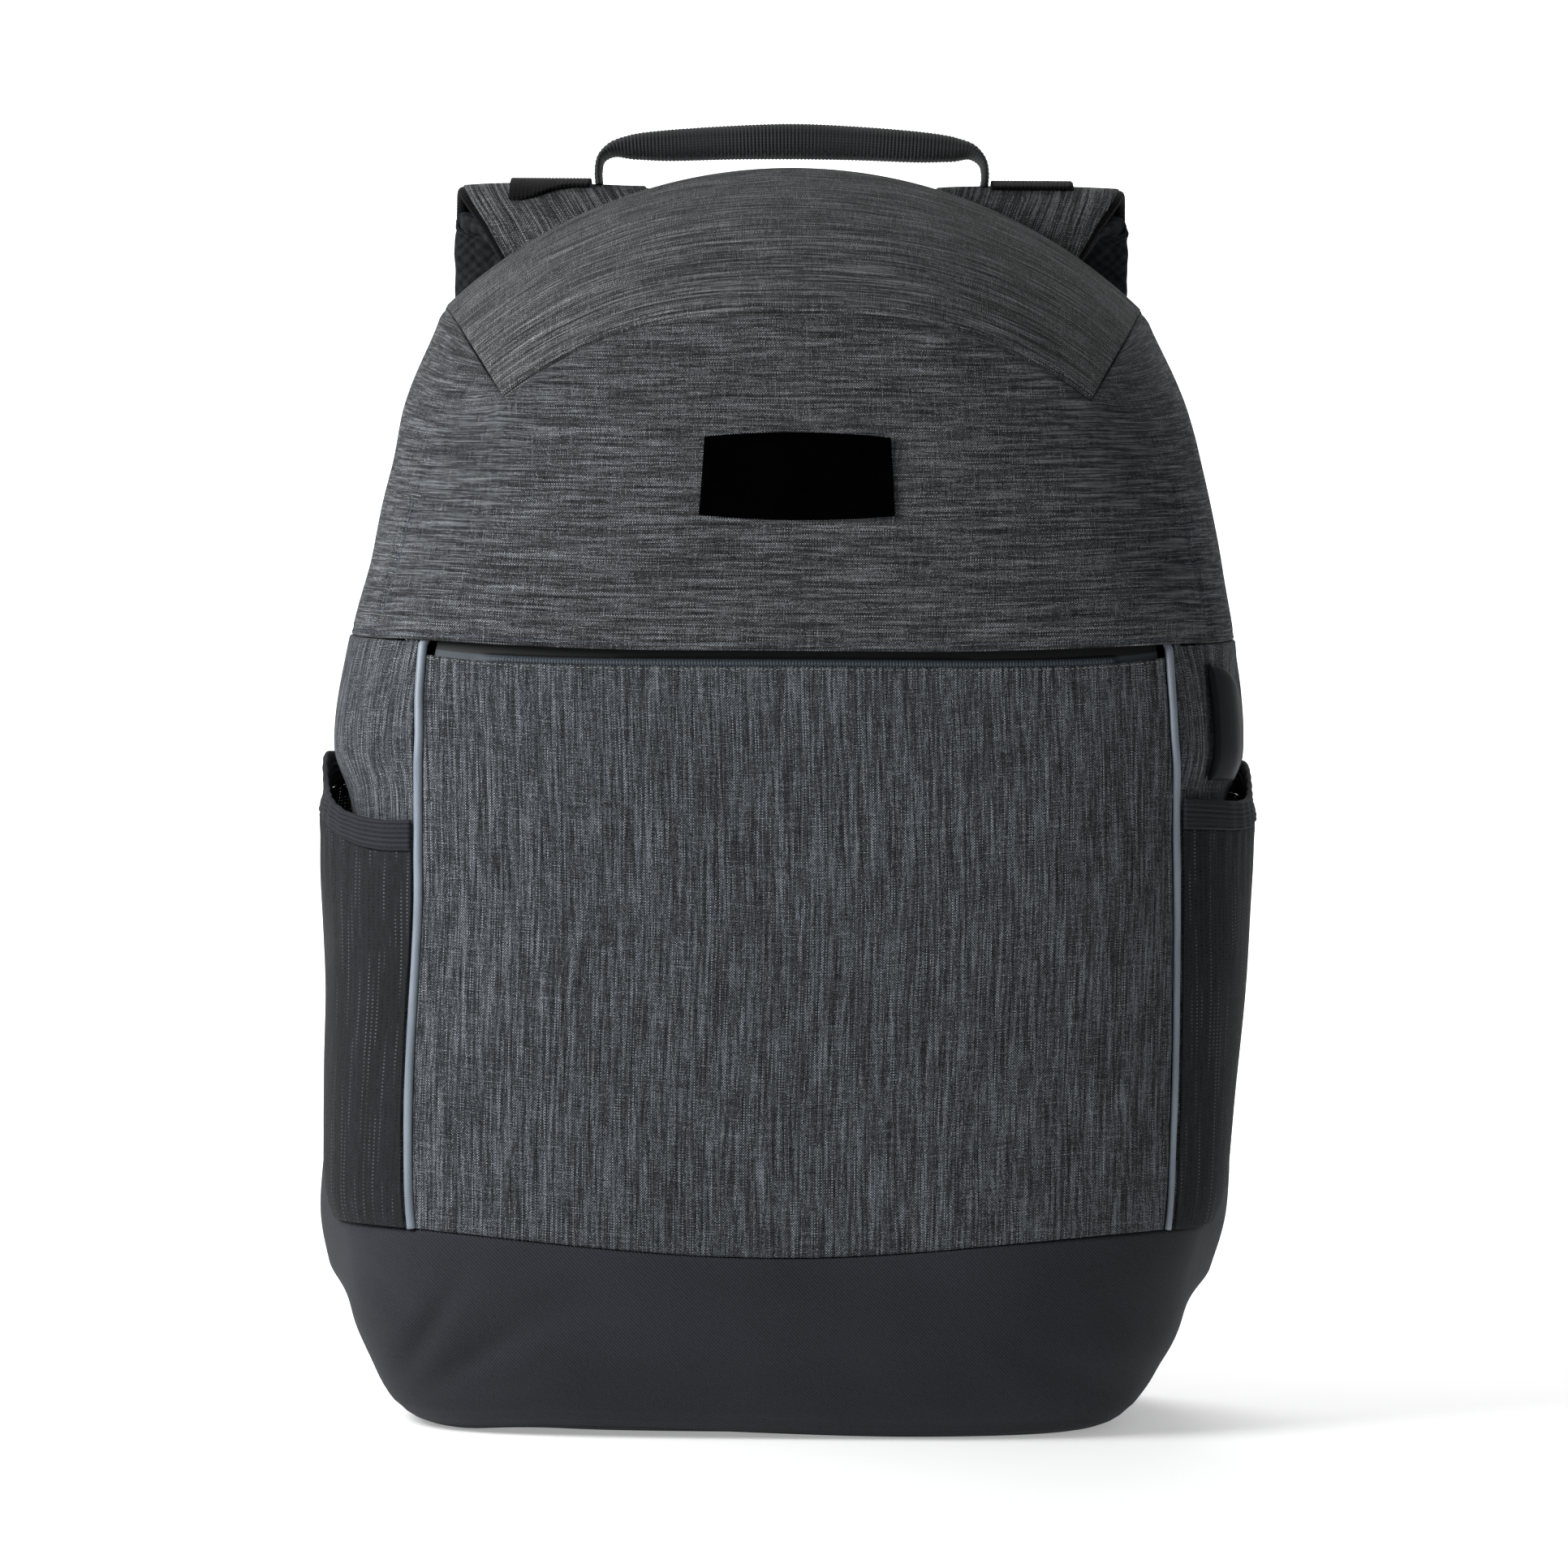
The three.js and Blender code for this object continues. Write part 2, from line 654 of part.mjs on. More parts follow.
// Side panels, mesh pockets, their elastic, and the piping
for (const [name, side] of [["left", -1], ["right", 1]]) {
  const spread = (to, clear) => (u, z) => {
    const from = pipingS(side, z) + share(clear, z);
    return side * THREE.MathUtils.lerp(from, to, side < 0 ? 1 - u : u);
  };
  const panelAcross = spread(1, PIPING_SEAM);
  const panelLow = (s) => baseSeamZ(s) + SEAM_CLEAR;
  const panelHigh = (s) => hemZ(s) - 2 * SEAM_CLEAR;
  add(
    `side_panel_${name}`,
    bodyPanel(SIDE_COLUMNS, 10, panelAcross, panelLow, panelHigh, () => 0, () => -CLOTH),
    HEATHER,
  );

  const meshAcross = spread(MESH_REAR_S, PIPING_SEAM + 0.4);
  const elasticLow = (s) => meshTopZ(s) - ELASTIC_TALL;
  const meshOut = (s, z) => 2 * GAP + MESH_CLOTH + meshBelly(s, z);
  const meshIn = (s, z) => 2 * GAP + meshBelly(s, z);
  const meshHigh = (s) => elasticLow(s) - GAP;
  add(
    `mesh_pocket_${name}`,
    bodyPanel(MESH_COLUMNS, 7, meshAcross, (s) => baseSeamZ(s) + 0.6, meshHigh, meshOut, meshIn),
    BLACK_MESH,
  );
  const elasticOut = (s, z) => 2 * GAP + ELASTIC_THICK + meshBelly(s, z);
  add(
    `pocket_elastic_${name}`,
    bodyPanel(MESH_COLUMNS, 2, meshAcross, elasticLow, meshTopZ, elasticOut, meshIn),
    BLACK_WEBBING,
  );

  const pipingLine = [];
  const pipingSteps = 9;
  const pipingLow = baseSeamZ(pipingS(side, BASE_SEAM_Z)) + 0.6;
  const pipingHigh = hemZ(PIPING_S) - 0.6;
  for (let i = 0; i <= pipingSteps; i += 1) {
    const z = THREE.MathUtils.lerp(pipingLow, pipingHigh, i / pipingSteps);
    pipingLine.push(skin(side * pipingS(side, z), z, -0.2));
  }
  add(`piping_${name}`, tube(pipingLine, PIPING_RADIUS, 8, 14), REFLECTIVE);
}

// Base: a boot of walls and a flat bottom that reaches under the back panel, its rear ears stuffed out
function baseOffset(s, z) {
  const away = Math.abs(s);
  const stuffed = THREE.MathUtils.smoothstep(away, 0.6, 0.76);
  const sewn = THREE.MathUtils.smoothstep(away, 0.88, 1);
  return BASE_EAR_BULGE * stuffed * (1 - sewn) * THREE.MathUtils.smoothstep(z, 38, 54);
}
const baseRuns = (side) => [
  { to: pipingS(side, BASE_SEAM_Z) + share(PIPING_SEAM, BASE_SEAM_Z), columns: POCKET_COLUMNS / 2 },
  { to: 1, columns: SIDE_COLUMNS },
];
const baseColumns = rimToRim(baseRuns(1), baseRuns(-1));
const baseWall = bodyPanel(
  baseColumns.columns,
  7,
  baseColumns.across,
  () => 0,
  (s) => baseSeamZ(s) - SEAM_CLEAR,
  baseOffset,
  (s, z) => baseOffset(s, z) - BASE_CLOTH,
);
const bottomShape = new THREE.Shape();
for (let i = 0; i <= baseColumns.columns; i += 1) {
  const point = bodyPoint(baseColumns.across(i / baseColumns.columns), 0);
  if (i === 0) {
    bottomShape.moveTo(point.x, point.y);
  } else {
    bottomShape.lineTo(point.x, point.y);
  }
}
bottomShape.lineTo(outlinePoint(1, 0).x - 4, RIM_Y + BACK_PANEL_THICK);
bottomShape.lineTo(outlinePoint(-1, 0).x + 4, RIM_Y + BACK_PANEL_THICK);
const bottom = new THREE.ExtrudeGeometry(bottomShape, { depth: BASE_BOTTOM, bevelEnabled: false });
add("base_boot", fromSolid(solid(baseWall).add(solid(bottom))), TWILL);

// Rear rim of the shell, as points in X and Z from the lower left over the arch to the lower right
const rim = [];
const rimSideSteps = 13;
const rimArchSteps = 16;
for (let i = 0; i < rimSideSteps; i += 1) {
  const z = THREE.MathUtils.lerp(RIM_FOOT_Z, DART_REAR_Z, Math.pow(i / rimSideSteps, 1.4));
  rim.push(outlinePoint(-1, z));
}
for (let i = 0; i <= rimArchSteps; i += 1) {
  rim.push(rimArch((i / rimArchSteps) * 2 - 1));
}
for (let i = rimSideSteps - 1; i >= 0; i -= 1) {
  const z = THREE.MathUtils.lerp(RIM_FOOT_Z, DART_REAR_Z, Math.pow(i / rimSideSteps, 1.4));
  rim.push(outlinePoint(1, z));
}

function insetRim(distance) {
  return rim.map((point, i) => {
    const before = rim[Math.max(i - 1, 0)];
    const after = rim[Math.min(i + 1, rim.length - 1)];
    const along = after.clone().sub(before).normalize();
    return new THREE.Vector3(point.x + along.z * distance, point.y, point.z - along.x * distance);
  });
}

// Binding round the rear rim, and the padded back panel inside it
const bindingLine = insetRim(BINDING_RADIUS + 0.2).map((p) => p.setY(RIM_Y + BINDING_RADIUS + 0.4));
add("rear_binding", tube(bindingLine, BINDING_RADIUS, 6, 66), BLACK_WEBBING);

const BACK_BEVEL = 1.6;
const backShape = new THREE.Shape(
  insetRim(2 * BINDING_RADIUS + 1.7 + BACK_BEVEL).map((p) => new THREE.Vector2(p.x, p.z)),
);
const backPanel = new THREE.ExtrudeGeometry(backShape, {
  depth: BACK_PANEL_THICK - 2 * BACK_BEVEL,
  bevelSize: BACK_BEVEL,
  bevelThickness: BACK_BEVEL,
  bevelSegments: 2,
});
backPanel.rotateX(Math.PI / 2);
backPanel.translate(0, RIM_Y + GAP + BACK_PANEL_THICK - BACK_BEVEL, 0);
add("back_panel", backPanel, BLACK_MESH);

// Bare label patch on the hood
const labelAcross = (u) => THREE.MathUtils.lerp(LABEL.left, LABEL.right, u);
const labelIn = (s, z) => hoodOffset(s, z) + GAP;
const labelOut = (s, z) => labelIn(s, z) + LABEL.thick;
add(
  "label_patch",
  bodyPanel(8, 3, labelAcross, () => LABEL.low, () => LABEL.high, labelOut, labelIn),
  LABEL_BLACK,
);

// Cover of the charging port on the right side panel: straight in front, falling away behind in an arch
function usbFace(outer) {
  return (a, b) => {
    const across = a * 2 - 1;
    const tall = USB.straight + USB.arch * Math.sqrt(Math.max(1 - a * a, 0.03));
    const z = USB.low + tall * b;
    const s = USB.s + share((across * USB.wide) / 2, z);
    const edge = Math.min(1 - Math.abs(across), 2 * b, 1.4 * (1 - b));
    const proud = USB.proud * Math.sqrt(1 - Math.pow(1 - Math.min(edge / 0.5, 1), 2));
    return skin(s, z, 2 * GAP + (outer ? 0.8 + proud : 0));
  };
}
add("usb_hood", sheet(8, 9, usbFace(true), usbFace(false)), PLASTIC);

// Carry handle: flat webbing at its feet, rolled into a grip between them
const handleLine = new THREE.CatmullRomCurve3(
  HANDLE_LINE.map((row) => new THREE.Vector3(row.x, HANDLE_Y, row.z)),
);
const handleRows = HANDLE_LINE.map((row, i) => ({ ...row, i }));
const handleSteps = 30;
const handleSides = 10;
const handleRings = [];
for (let i = 0; i <= handleSteps; i += 1) {
  const t = i / handleSteps;
  const along = handleLine.getTangent(t);
  const out = new THREE.Vector3(-along.z, 0, along.x);
  const deep = readColumn(handleRows, "i", "deep", t * (HANDLE_LINE.length - 1));
  const tall = readColumn(handleRows, "i", "tall", t * (HANDLE_LINE.length - 1));
  const ring = [];
  for (let k = 0; k < handleSides; k += 1) {
    const angle = (2 * Math.PI * k) / handleSides;
    const point = handleLine.getPoint(t).addScaledVector(out, tall * Math.sin(angle));
    point.y += deep * Math.cos(angle);
    ring.push(point);
  }
  handleRings.push(ring);
}
add("handle", ringLoft(handleRings), GRIP_WEBBING);

// Shoulder straps: grey cloth on the outside, padding on the wearer's side
const STRAP_ACROSS = 3;
addPair("strap_face", band(STRAP_LINE, STRAP_STEPS, STRAP_ACROSS, STRAP_FACE.out, STRAP_FACE.inn), HEATHER);
addPair("strap_pad", band(STRAP_LINE, STRAP_STEPS, STRAP_ACROSS, STRAP_PAD.out, STRAP_PAD.inn), BLACK_MESH);

// Webbing tab of the handle, sewn over the crest of each strap
const strapPlace = bandPlace(STRAP_LINE);
function tabFace(offset) {
  return (u, v) => {
    const last = STRAP_LINE.length - 1;
    const t = THREE.MathUtils.lerp(STRAP_CREST - 0.8, STRAP_CREST + 1.4, u) / last;
    const middle = strapPlace(t, 0, 0).x;
    const half = strapPlace(t, 1, 0).x - middle;
    const x = THREE.MathUtils.lerp(TAB.near, TAB.far, v);
    return strapPlace(t, (x - middle) / half, offset);
  };
}
addPair("handle_tab", sheet(7, 2, tabFace(TAB.out), tabFace(TAB.inn)), BLACK_WEBBING);

// Lower webbing, the loop at the strap's end, and the plain adjuster between them
const withHalf = (rows) => rows.map((row) => ({ ...row, half: WEBBING_HALF }));
addPair("strap_webbing", band(withHalf(WEBBING_LINE), 33, 1, WEBBING / 2, -WEBBING / 2), BLACK_WEBBING);
addPair("strap_loop", band(withHalf(LOOP_LINE), 24, 1, WEBBING / 2, -WEBBING / 2), BLACK_WEBBING);

const windowTall = (ADJUSTER.tall - 3 * ADJUSTER.bar) / 2;
const windowHalf = ADJUSTER.half - ADJUSTER.bar;
const plateHigh = ADJUSTER.low + ADJUSTER.tall;
const plate = box(
  new THREE.Vector3(ADJUSTER.x - ADJUSTER.half, ADJUSTER.y - ADJUSTER.thick / 2, ADJUSTER.low),
  new THREE.Vector3(ADJUSTER.x + ADJUSTER.half, ADJUSTER.y + ADJUSTER.thick / 2, plateHigh),
);
let adjuster = solid(plate);
for (const row of [0, 1]) {
  const low = ADJUSTER.low + ADJUSTER.bar + row * (windowTall + ADJUSTER.bar);
  const window = box(
    new THREE.Vector3(ADJUSTER.x - windowHalf, ADJUSTER.y - ADJUSTER.thick, low),
    new THREE.Vector3(ADJUSTER.x + windowHalf, ADJUSTER.y + ADJUSTER.thick, low + windowTall),
  );
  adjuster = adjuster.subtract(solid(window));
}
addPair("strap_adjuster", fromSolid(adjuster), PLASTIC);

// Cloth tab that holds the webbing's lower end on the back panel
const ANCHOR = { low: 18, high: 42, wideLow: 13, wideHigh: 11.5, thick: 1.6 };
const anchorShape = new THREE.Shape([
  new THREE.Vector2(WEBBING_LINE[0].x - ANCHOR.wideLow, ANCHOR.low),
  new THREE.Vector2(WEBBING_LINE[0].x + ANCHOR.wideLow, ANCHOR.low),
  new THREE.Vector2(WEBBING_LINE[0].x + ANCHOR.wideHigh, ANCHOR.high),
  new THREE.Vector2(WEBBING_LINE[0].x - ANCHOR.wideHigh, ANCHOR.high),
]);
const anchor = new THREE.ExtrudeGeometry(anchorShape, { depth: ANCHOR.thick, bevelEnabled: false });
anchor.rotateX(Math.PI / 2);
anchor.translate(0, RIM_Y + BACK_PANEL_THICK + 2 * GAP + ANCHOR.thick, 0);
addPair("strap_anchor", anchor, BLACK_WEBBING);

// The whole bag moved so that its bounding box stands centred on the origin
const extent = new THREE.Box3().setFromObject(group);
const middle = extent.getCenter(new THREE.Vector3());
for (const mesh of group.children) {
  mesh.geometry.translate(-middle.x, -middle.y, -extent.min.z);
}

export default group;
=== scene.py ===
# %% [markdown]
# # A heather day pack, dressed piece by piece
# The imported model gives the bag's true shapes as plain solids. Here each sewn panel is made again as
# fine cloth in the same place: the same seams, with hems, stitches, ribs and weave. Sizes are in
# millimetres while a piece is shaped and turn into metres when its mesh is made.

# %% Load the frame
import math

import bpy
import numpy as np
from mathutils import Euler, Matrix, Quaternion, Vector


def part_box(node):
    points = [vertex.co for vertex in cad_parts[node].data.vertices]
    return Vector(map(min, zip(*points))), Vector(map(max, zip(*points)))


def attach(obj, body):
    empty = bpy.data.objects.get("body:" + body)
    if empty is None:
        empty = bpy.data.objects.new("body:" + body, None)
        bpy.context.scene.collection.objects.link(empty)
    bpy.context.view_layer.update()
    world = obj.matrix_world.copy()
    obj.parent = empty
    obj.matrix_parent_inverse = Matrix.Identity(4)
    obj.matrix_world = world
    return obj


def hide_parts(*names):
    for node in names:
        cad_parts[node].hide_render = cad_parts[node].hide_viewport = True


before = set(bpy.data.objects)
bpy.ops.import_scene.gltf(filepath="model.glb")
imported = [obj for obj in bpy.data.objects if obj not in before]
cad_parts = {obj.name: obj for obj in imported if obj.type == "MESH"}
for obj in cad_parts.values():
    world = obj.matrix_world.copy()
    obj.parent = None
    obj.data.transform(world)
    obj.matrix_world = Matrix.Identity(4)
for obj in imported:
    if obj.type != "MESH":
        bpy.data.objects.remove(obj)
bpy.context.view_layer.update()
MM = 0.001
SIDES = ((-1, "left"), (1, "right"))
print("nodes in the frame:", len(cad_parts))

# %% [markdown]
# ## Where the bag stands
# The panels are described in the bag's own sewing frame: the rear rim is one upright plane and the
# middle of the front is at zero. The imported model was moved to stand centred, so its nodes tell how
# far: the back panel gives the depth and the pair of strap pads gives the sideways shift.

# %% From the bag's frame to the model's
RIM_Y, BACK_PROUD = 70, 6.3
BACK_FACE_Y = RIM_Y + BACK_PROUD
pad_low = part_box("strap_pad_left")[0]
pad_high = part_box("strap_pad_right")[1]
back_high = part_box("back_panel")[1]
SHIFT = np.array([(pad_low[0] + pad_high[0]) / 2, back_high[1] - BACK_FACE_Y * MM, 0])
print("shift of the bag in metres:", SHIFT.round(5))

# %% [markdown]
# ## Camera and studio
# The photograph looks straight at the front from about table distance through a long lens, a little
# below the middle of the bag. The lens comes from the pixels that the bag covers. A pale sweep that
# curves up behind the bag is floor and backdrop in one, so no horizon line shows. The key light stands
# close to the bag's left side, so the shade runs from light on the left to dark on the right.

# %% Camera
IMAGE_PIXELS = 1932
FOCAL_PIXELS = 5940
CAMERA_BACK = 1.697
CAMERA_UP = 0.2198
CAMERA_SIDE = -0.00125
CAMERA_ROLL = math.radians(0.35)
scene = bpy.context.scene
camera = bpy.data.objects.new("camera", bpy.data.cameras.new("camera"))
scene.collection.objects.link(camera)
camera.data.sensor_width = 36
camera.data.lens = FOCAL_PIXELS / IMAGE_PIXELS * camera.data.sensor_width
camera.location = (CAMERA_SIDE, -CAMERA_BACK, CAMERA_UP)
camera.rotation_mode = "QUATERNION"
level = Euler((math.pi / 2, 0, 0)).to_quaternion()
camera.rotation_quaternion = level @ Quaternion((0, 0, 1), CAMERA_ROLL)
scene.camera = camera
scene.view_settings.view_transform = "Standard"
print("lens in millimetres:", round(camera.data.lens, 1))


# %% Mesh from a grid of points
def new_object(name, points, faces, cloth=None):
    """A smooth mesh object from points in the bag's frame, in mm, with its cloth coordinates in metres."""
    mesh = bpy.data.meshes.new(name)
    places = (np.asarray(points) * MM + SHIFT).tolist()
    mesh.from_pydata(places, [], [list(map(int, face)) for face in faces])
    if cloth is not None:
        layer = mesh.attributes.new("cloth", "FLOAT_VECTOR", "POINT")
        layer.data.foreach_set("vector", (np.asarray(cloth) * MM).astype(np.float32).ravel())
    mesh.shade_smooth()
    mesh.update()
    piece = bpy.data.objects.new(name, mesh)
    scene.collection.objects.link(piece)
    return piece


def grid_faces(columns, rows, start=0, flip=False, wrap=False):
    """Quads of a grid of columns by rows points; wrap joins its last column to its first."""
    at = start + np.arange(columns * rows).reshape(columns, rows)
    left = at if wrap else at[:-1]
    right = np.roll(at, -1, axis=0) if wrap else at[1:]
    quads = np.stack([left[:, :-1], right[:, :-1], right[:, 1:], left[:, 1:]], axis=-1).reshape(-1, 4)
    return quads[:, ::-1] if flip else quads


# %% The sweep
SWEEP_HALF_WIDTH, SWEEP_TOP = 6.0, 6.0
SWEEP_FRONT, SWEEP_BEND, SWEEP_RADIUS = -5.0, 1.2, 1.5
sweep_line = [(SWEEP_FRONT, 0.0), (SWEEP_BEND, 0.0)]
for turn in np.linspace(0.1, math.pi / 2, 16):
    sweep_line.append((SWEEP_BEND + SWEEP_RADIUS * math.sin(turn), SWEEP_RADIUS * (1 - math.cos(turn))))
sweep_line.append((SWEEP_BEND + SWEEP_RADIUS, SWEEP_TOP))
sweep_points = [(side * SWEEP_HALF_WIDTH, y, z) for side in (-1, 1) for y, z in sweep_line]
sweep = new_object("sweep", (np.array(sweep_points) - SHIFT) / MM, grid_faces(2, len(sweep_line)))
print("sweep rows:", len(sweep_line))


# %% Lights
def area_light(name, place, target, size, power, colour=(1, 1, 1)):
    """A round area light that looks from its place at its target."""
    lamp = bpy.data.lights.new(name, "AREA")
    lamp.shape = "DISK"
    lamp.size = size
    lamp.energy = power
    lamp.color = colour
    piece = bpy.data.objects.new(name, lamp)
    piece.location = place
    piece.rotation_mode = "QUATERNION"
    piece.rotation_quaternion = (Vector(target) - Vector(place)).to_track_quat("-Z", "Y")
    scene.collection.objects.link(piece)


BAG_MIDDLE, BAG_FRONT, BACKDROP = (0, 0, 0.24), (0, -0.06, 0.24), (0, 2.7, 0.6)
AMBIENT = 0.18
area_light("key", (-0.52, -0.36, 0.48), BAG_FRONT, 0.4, 6.0, (0.985, 0.99, 1))
area_light("front", (0.3, -2.4, 1.2), BAG_MIDDLE, 1.4, 4)
area_light("backdrop_wash", (0, 1.2, 2.2), BACKDROP, 1.6, 60)
world = bpy.data.worlds.new("studio")
world.use_nodes = True
world.node_tree.nodes["Background"].inputs["Color"].default_value = (1, 1, 1, 1)
world.node_tree.nodes["Background"].inputs["Strength"].default_value = AMBIENT
scene.world = world
print("lights:", len(bpy.data.lights))

# %% [markdown]
# ## Materials written as sums
# A woven cloth is a sum of patterns: threads one way, threads the other way, and slow changes of shade.
# Writing that as arithmetic is easier to read than a picture of nodes, so one small class wraps a
# socket: adding or multiplying two of them adds a Math node. Every other node comes from one method.


# %% A socket that can be added and multiplied
class Wire:
    """An output socket in a material, on which Python's arithmetic adds Math nodes."""

    def __init__(self, finish, socket):
        self.finish = finish
        self.socket = socket

    def _math(self, operation, first, second):
        return self.finish.node("Math", {"operation": operation}, {0: first, 1: second})

    def __add__(self, other):
        return self._math("ADD", self, other)

    __radd__ = __add__

    def __sub__(self, other):
        return self._math("SUBTRACT", self, other)

    def __rsub__(self, other):
        return self._math("SUBTRACT", other, self)

    def __mul__(self, other):
        return self._math("MULTIPLY", self, other)

    __rmul__ = __mul__

    def __truediv__(self, other):
        return self._math("DIVIDE", self, other)

    def __pow__(self, other):
        return self._math("POWER", self, other)

    def minimum(self, other):
        return self._math("MINIMUM", self, other)

    def sine(self):
        return self._math("SINE", self, 0)

    def wave(self):
        """The sine, moved to run from 0 to 1."""
        return self.sine() * 0.5 + 0.5

    def whole(self):
        return self._math("FLOOR", self, 0)

    def fraction(self):
        return self._math("FRACT", self, 0)

    def step(self, low, high):
        """0 below low, 1 above high, smooth between."""
        sockets = {"Value": self, "From Min": low, "From Max": high}
        return self.finish.node("MapRange", {"interpolation_type": "SMOOTHSTEP"}, sockets)


# %% A material with the cloth's coordinates
def shade(text):
    """A linear colour from a painter's hex code."""
    parts = [int(text[i:i + 2], 16) / 255 for i in (0, 2, 4)]
    return tuple(p / 12.92 if p <= 0.04045 else ((p + 0.055) / 1.055) ** 2.4 for p in parts)


class Finish:
    """One material, with the cloth's own coordinates: u across and v along, in metres."""

    def __init__(self, name, **shader):
        self.material = bpy.data.materials.new(name)
        self.material.use_nodes = True
        self.tree = self.material.node_tree
        self.shader = self.tree.nodes["Principled BSDF"]
        self.set(**shader)
        place = self.node("Attribute", {"attribute_name": "cloth"}, {}, "Vector")
        self.u = self.node("SeparateXYZ", {}, {"Vector": place}, "X")
        self.v = Wire(self, self.u.socket.node.outputs["Y"])

    def node(self, kind, settings, sockets, output=0):
        """Any node: its type, its settings, and the values or links of its sockets."""
        made = self.tree.nodes.new("ShaderNode" + kind)
        for key, value in settings.items():
            if key == "stops":
                ramp = made.color_ramp
                while len(ramp.elements) < len(value):
                    ramp.elements.new(1)
                for element, (position, colour) in zip(ramp.elements, value):
                    element.position = position
                    element.color = (*colour, 1)
            else:
                setattr(made, key, value)
        for key, value in sockets.items():
            self.feed(made.inputs[key], value)
        return Wire(self, made.outputs[output])

    def feed(self, socket, value):
        if isinstance(value, Wire):
            self.tree.links.new(value.socket, socket)
        else:
            socket.default_value = value

    def set(self, **shader):
        for key, value in shader.items():
            self.feed(self.shader.inputs[key.replace("_", " ")], value)

    def noise(self, x, y, z, detail=2.0, roughness=0.5):
        place = self.node("CombineXYZ", {}, {"X": x, "Y": y, "Z": z})
        sockets = {"Vector": place, "Scale": 1.0, "Detail": detail, "Roughness": roughness}
        return self.node("TexNoise", {"normalize": True}, sockets)

    def grain(self, per_metre, z, detail=2.0):
        """Noise of one size both ways along the cloth."""
        return self.noise(self.u * per_metre, self.v * per_metre, z, detail)

    def solid_noise(self, scale, detail):
        """Noise in the object's own space, for what has no cloth coordinates."""
        place = self.node("TexCoord", {}, {}, "Object")
        return self.node("TexNoise", {}, {"Vector": place, "Scale": scale, "Detail": detail})

    def ramp(self, value, *stops):
        """A colour ramp; its stops are pairs of a place and a hex code or a linear colour."""
        linear = [(place, shade(c) if isinstance(c, str) else c) for place, c in stops]
        return self.node("ValToRGB", {"stops": linear}, {"Fac": value})

    def blend(self, factor, first, second, way="MIX"):
        sockets = {"Factor": factor, 6: first, 7: second}
        return self.node("Mix", {"data_type": "RGBA", "blend_type": way}, sockets, 2)

    def bump(self, height, depth, strength):
        sockets = {"Height": height, "Distance": depth, "Strength": strength}
        self.set(Normal=self.node("Bump", {}, sockets))


# %% [markdown]
# ## The heather cloth
# Heather cloth is woven from yarns dyed dark and light before spinning, so each thread runs through
# shades along its length. Noise that is stretched a long way along the thread and is fine across it gives
# such threads, and a chequer of threads over and under gives the plain weave. A picture of cloth would be
# easier, but it would blur close by. One direction shows more: across the hood, up the pocket.

# %% Heather, with its strong threads across or up the panel
THREAD = 0.00044
STREAK, CROSS_STREAK, UNLIKE_THREADS = 0.024, 0.05, 5.3
SLUB_LONG, SLUB_WIDE, FLECK, FLECKS = 0.008, 0.42, 0.9, 0.36
HEATHER_SHADES = (
    (0.32, "0b0c0d"),
    (0.44, "242628"),
    (0.54, "414346"),
    (0.64, "6e7276"),
    (0.78, "8f949a"),
)


def heather(name, strong_up, tint, slubs=0.24):
    finish = Finish(name, Roughness=0.92, Specular_IOR_Level=0.15)
    along, across = (finish.v, finish.u) if strong_up else (finish.u, finish.v)
    along, across = along / THREAD, across / THREAD
    own, other = across.whole(), along.whole()
    strong = finish.noise(along * STREAK, own * UNLIKE_THREADS, 1.0, detail=3.0, roughness=0.6)
    slub = finish.noise(along * SLUB_LONG, own * SLUB_WIDE, 5.0)
    weak = finish.noise(other * UNLIKE_THREADS, across * CROSS_STREAK, 9.0)
    fleck = finish.noise(other * FLECK, own * FLECK, 3.0, detail=1.0)
    on_top = ((other + own) / 2).fraction().step(0.2, 0.3)
    crossing = weak * 0.55 + 0.16
    value = crossing + (strong * 0.9 + 0.085 - crossing) * on_top
    value = value * 0.95 + (slub - 0.5) * slubs + (fleck - 0.5) * FLECKS + 0.03
    round_own = (across.fraction() * math.pi).sine()
    round_other = (along.fraction() * math.pi).sine()
    relief = round_other + (round_own - round_other) * on_top
    # The relief also scales the shade: crowns of the threads lighter and their sides darker, painted shade
    # of the round threads.
    colour = finish.ramp(value * (relief * 0.24 + 0.845), *HEATHER_SHADES)
    finish.set(Base_Color=finish.blend(1.0, colour, (*tint, 1.0), "MULTIPLY"))
    finish.bump(relief, 0.0002, 0.5)
    return finish.material


HEATHER_ACROSS = heather("heather_across", False, (1.04, 1.02, 1.0))
HEATHER_UP = heather("heather_up", True, (1.02, 1.03, 1.04))
# The arch's heather is the same cloth made about a fifth lighter: painted light for the top band, which
# faces up to the light.
HEATHER_ARCH_PAINTED_LIGHT = heather("heather_arch_painted_light", False, (1.2, 1.17, 1.1), slubs=0.42)
print("heather threads in a centimetre:", round(0.01 / THREAD, 1))

# %% [markdown]
# ## Dark cloths, webbing, piping and plastic
# The base is a tight twill whose diagonal ribs are finer than a pixel, so it shows as a soft sheen with
# faint diagonals. The side pockets are a warp-knit net: rows of pinholes let some light through, and pale
# dots of painted light sit in some holes. Webbing has ribs across its length. The cover of the charging
# port is satin moulded plastic.

# %% Twill of the base
TURN = 2 * math.pi


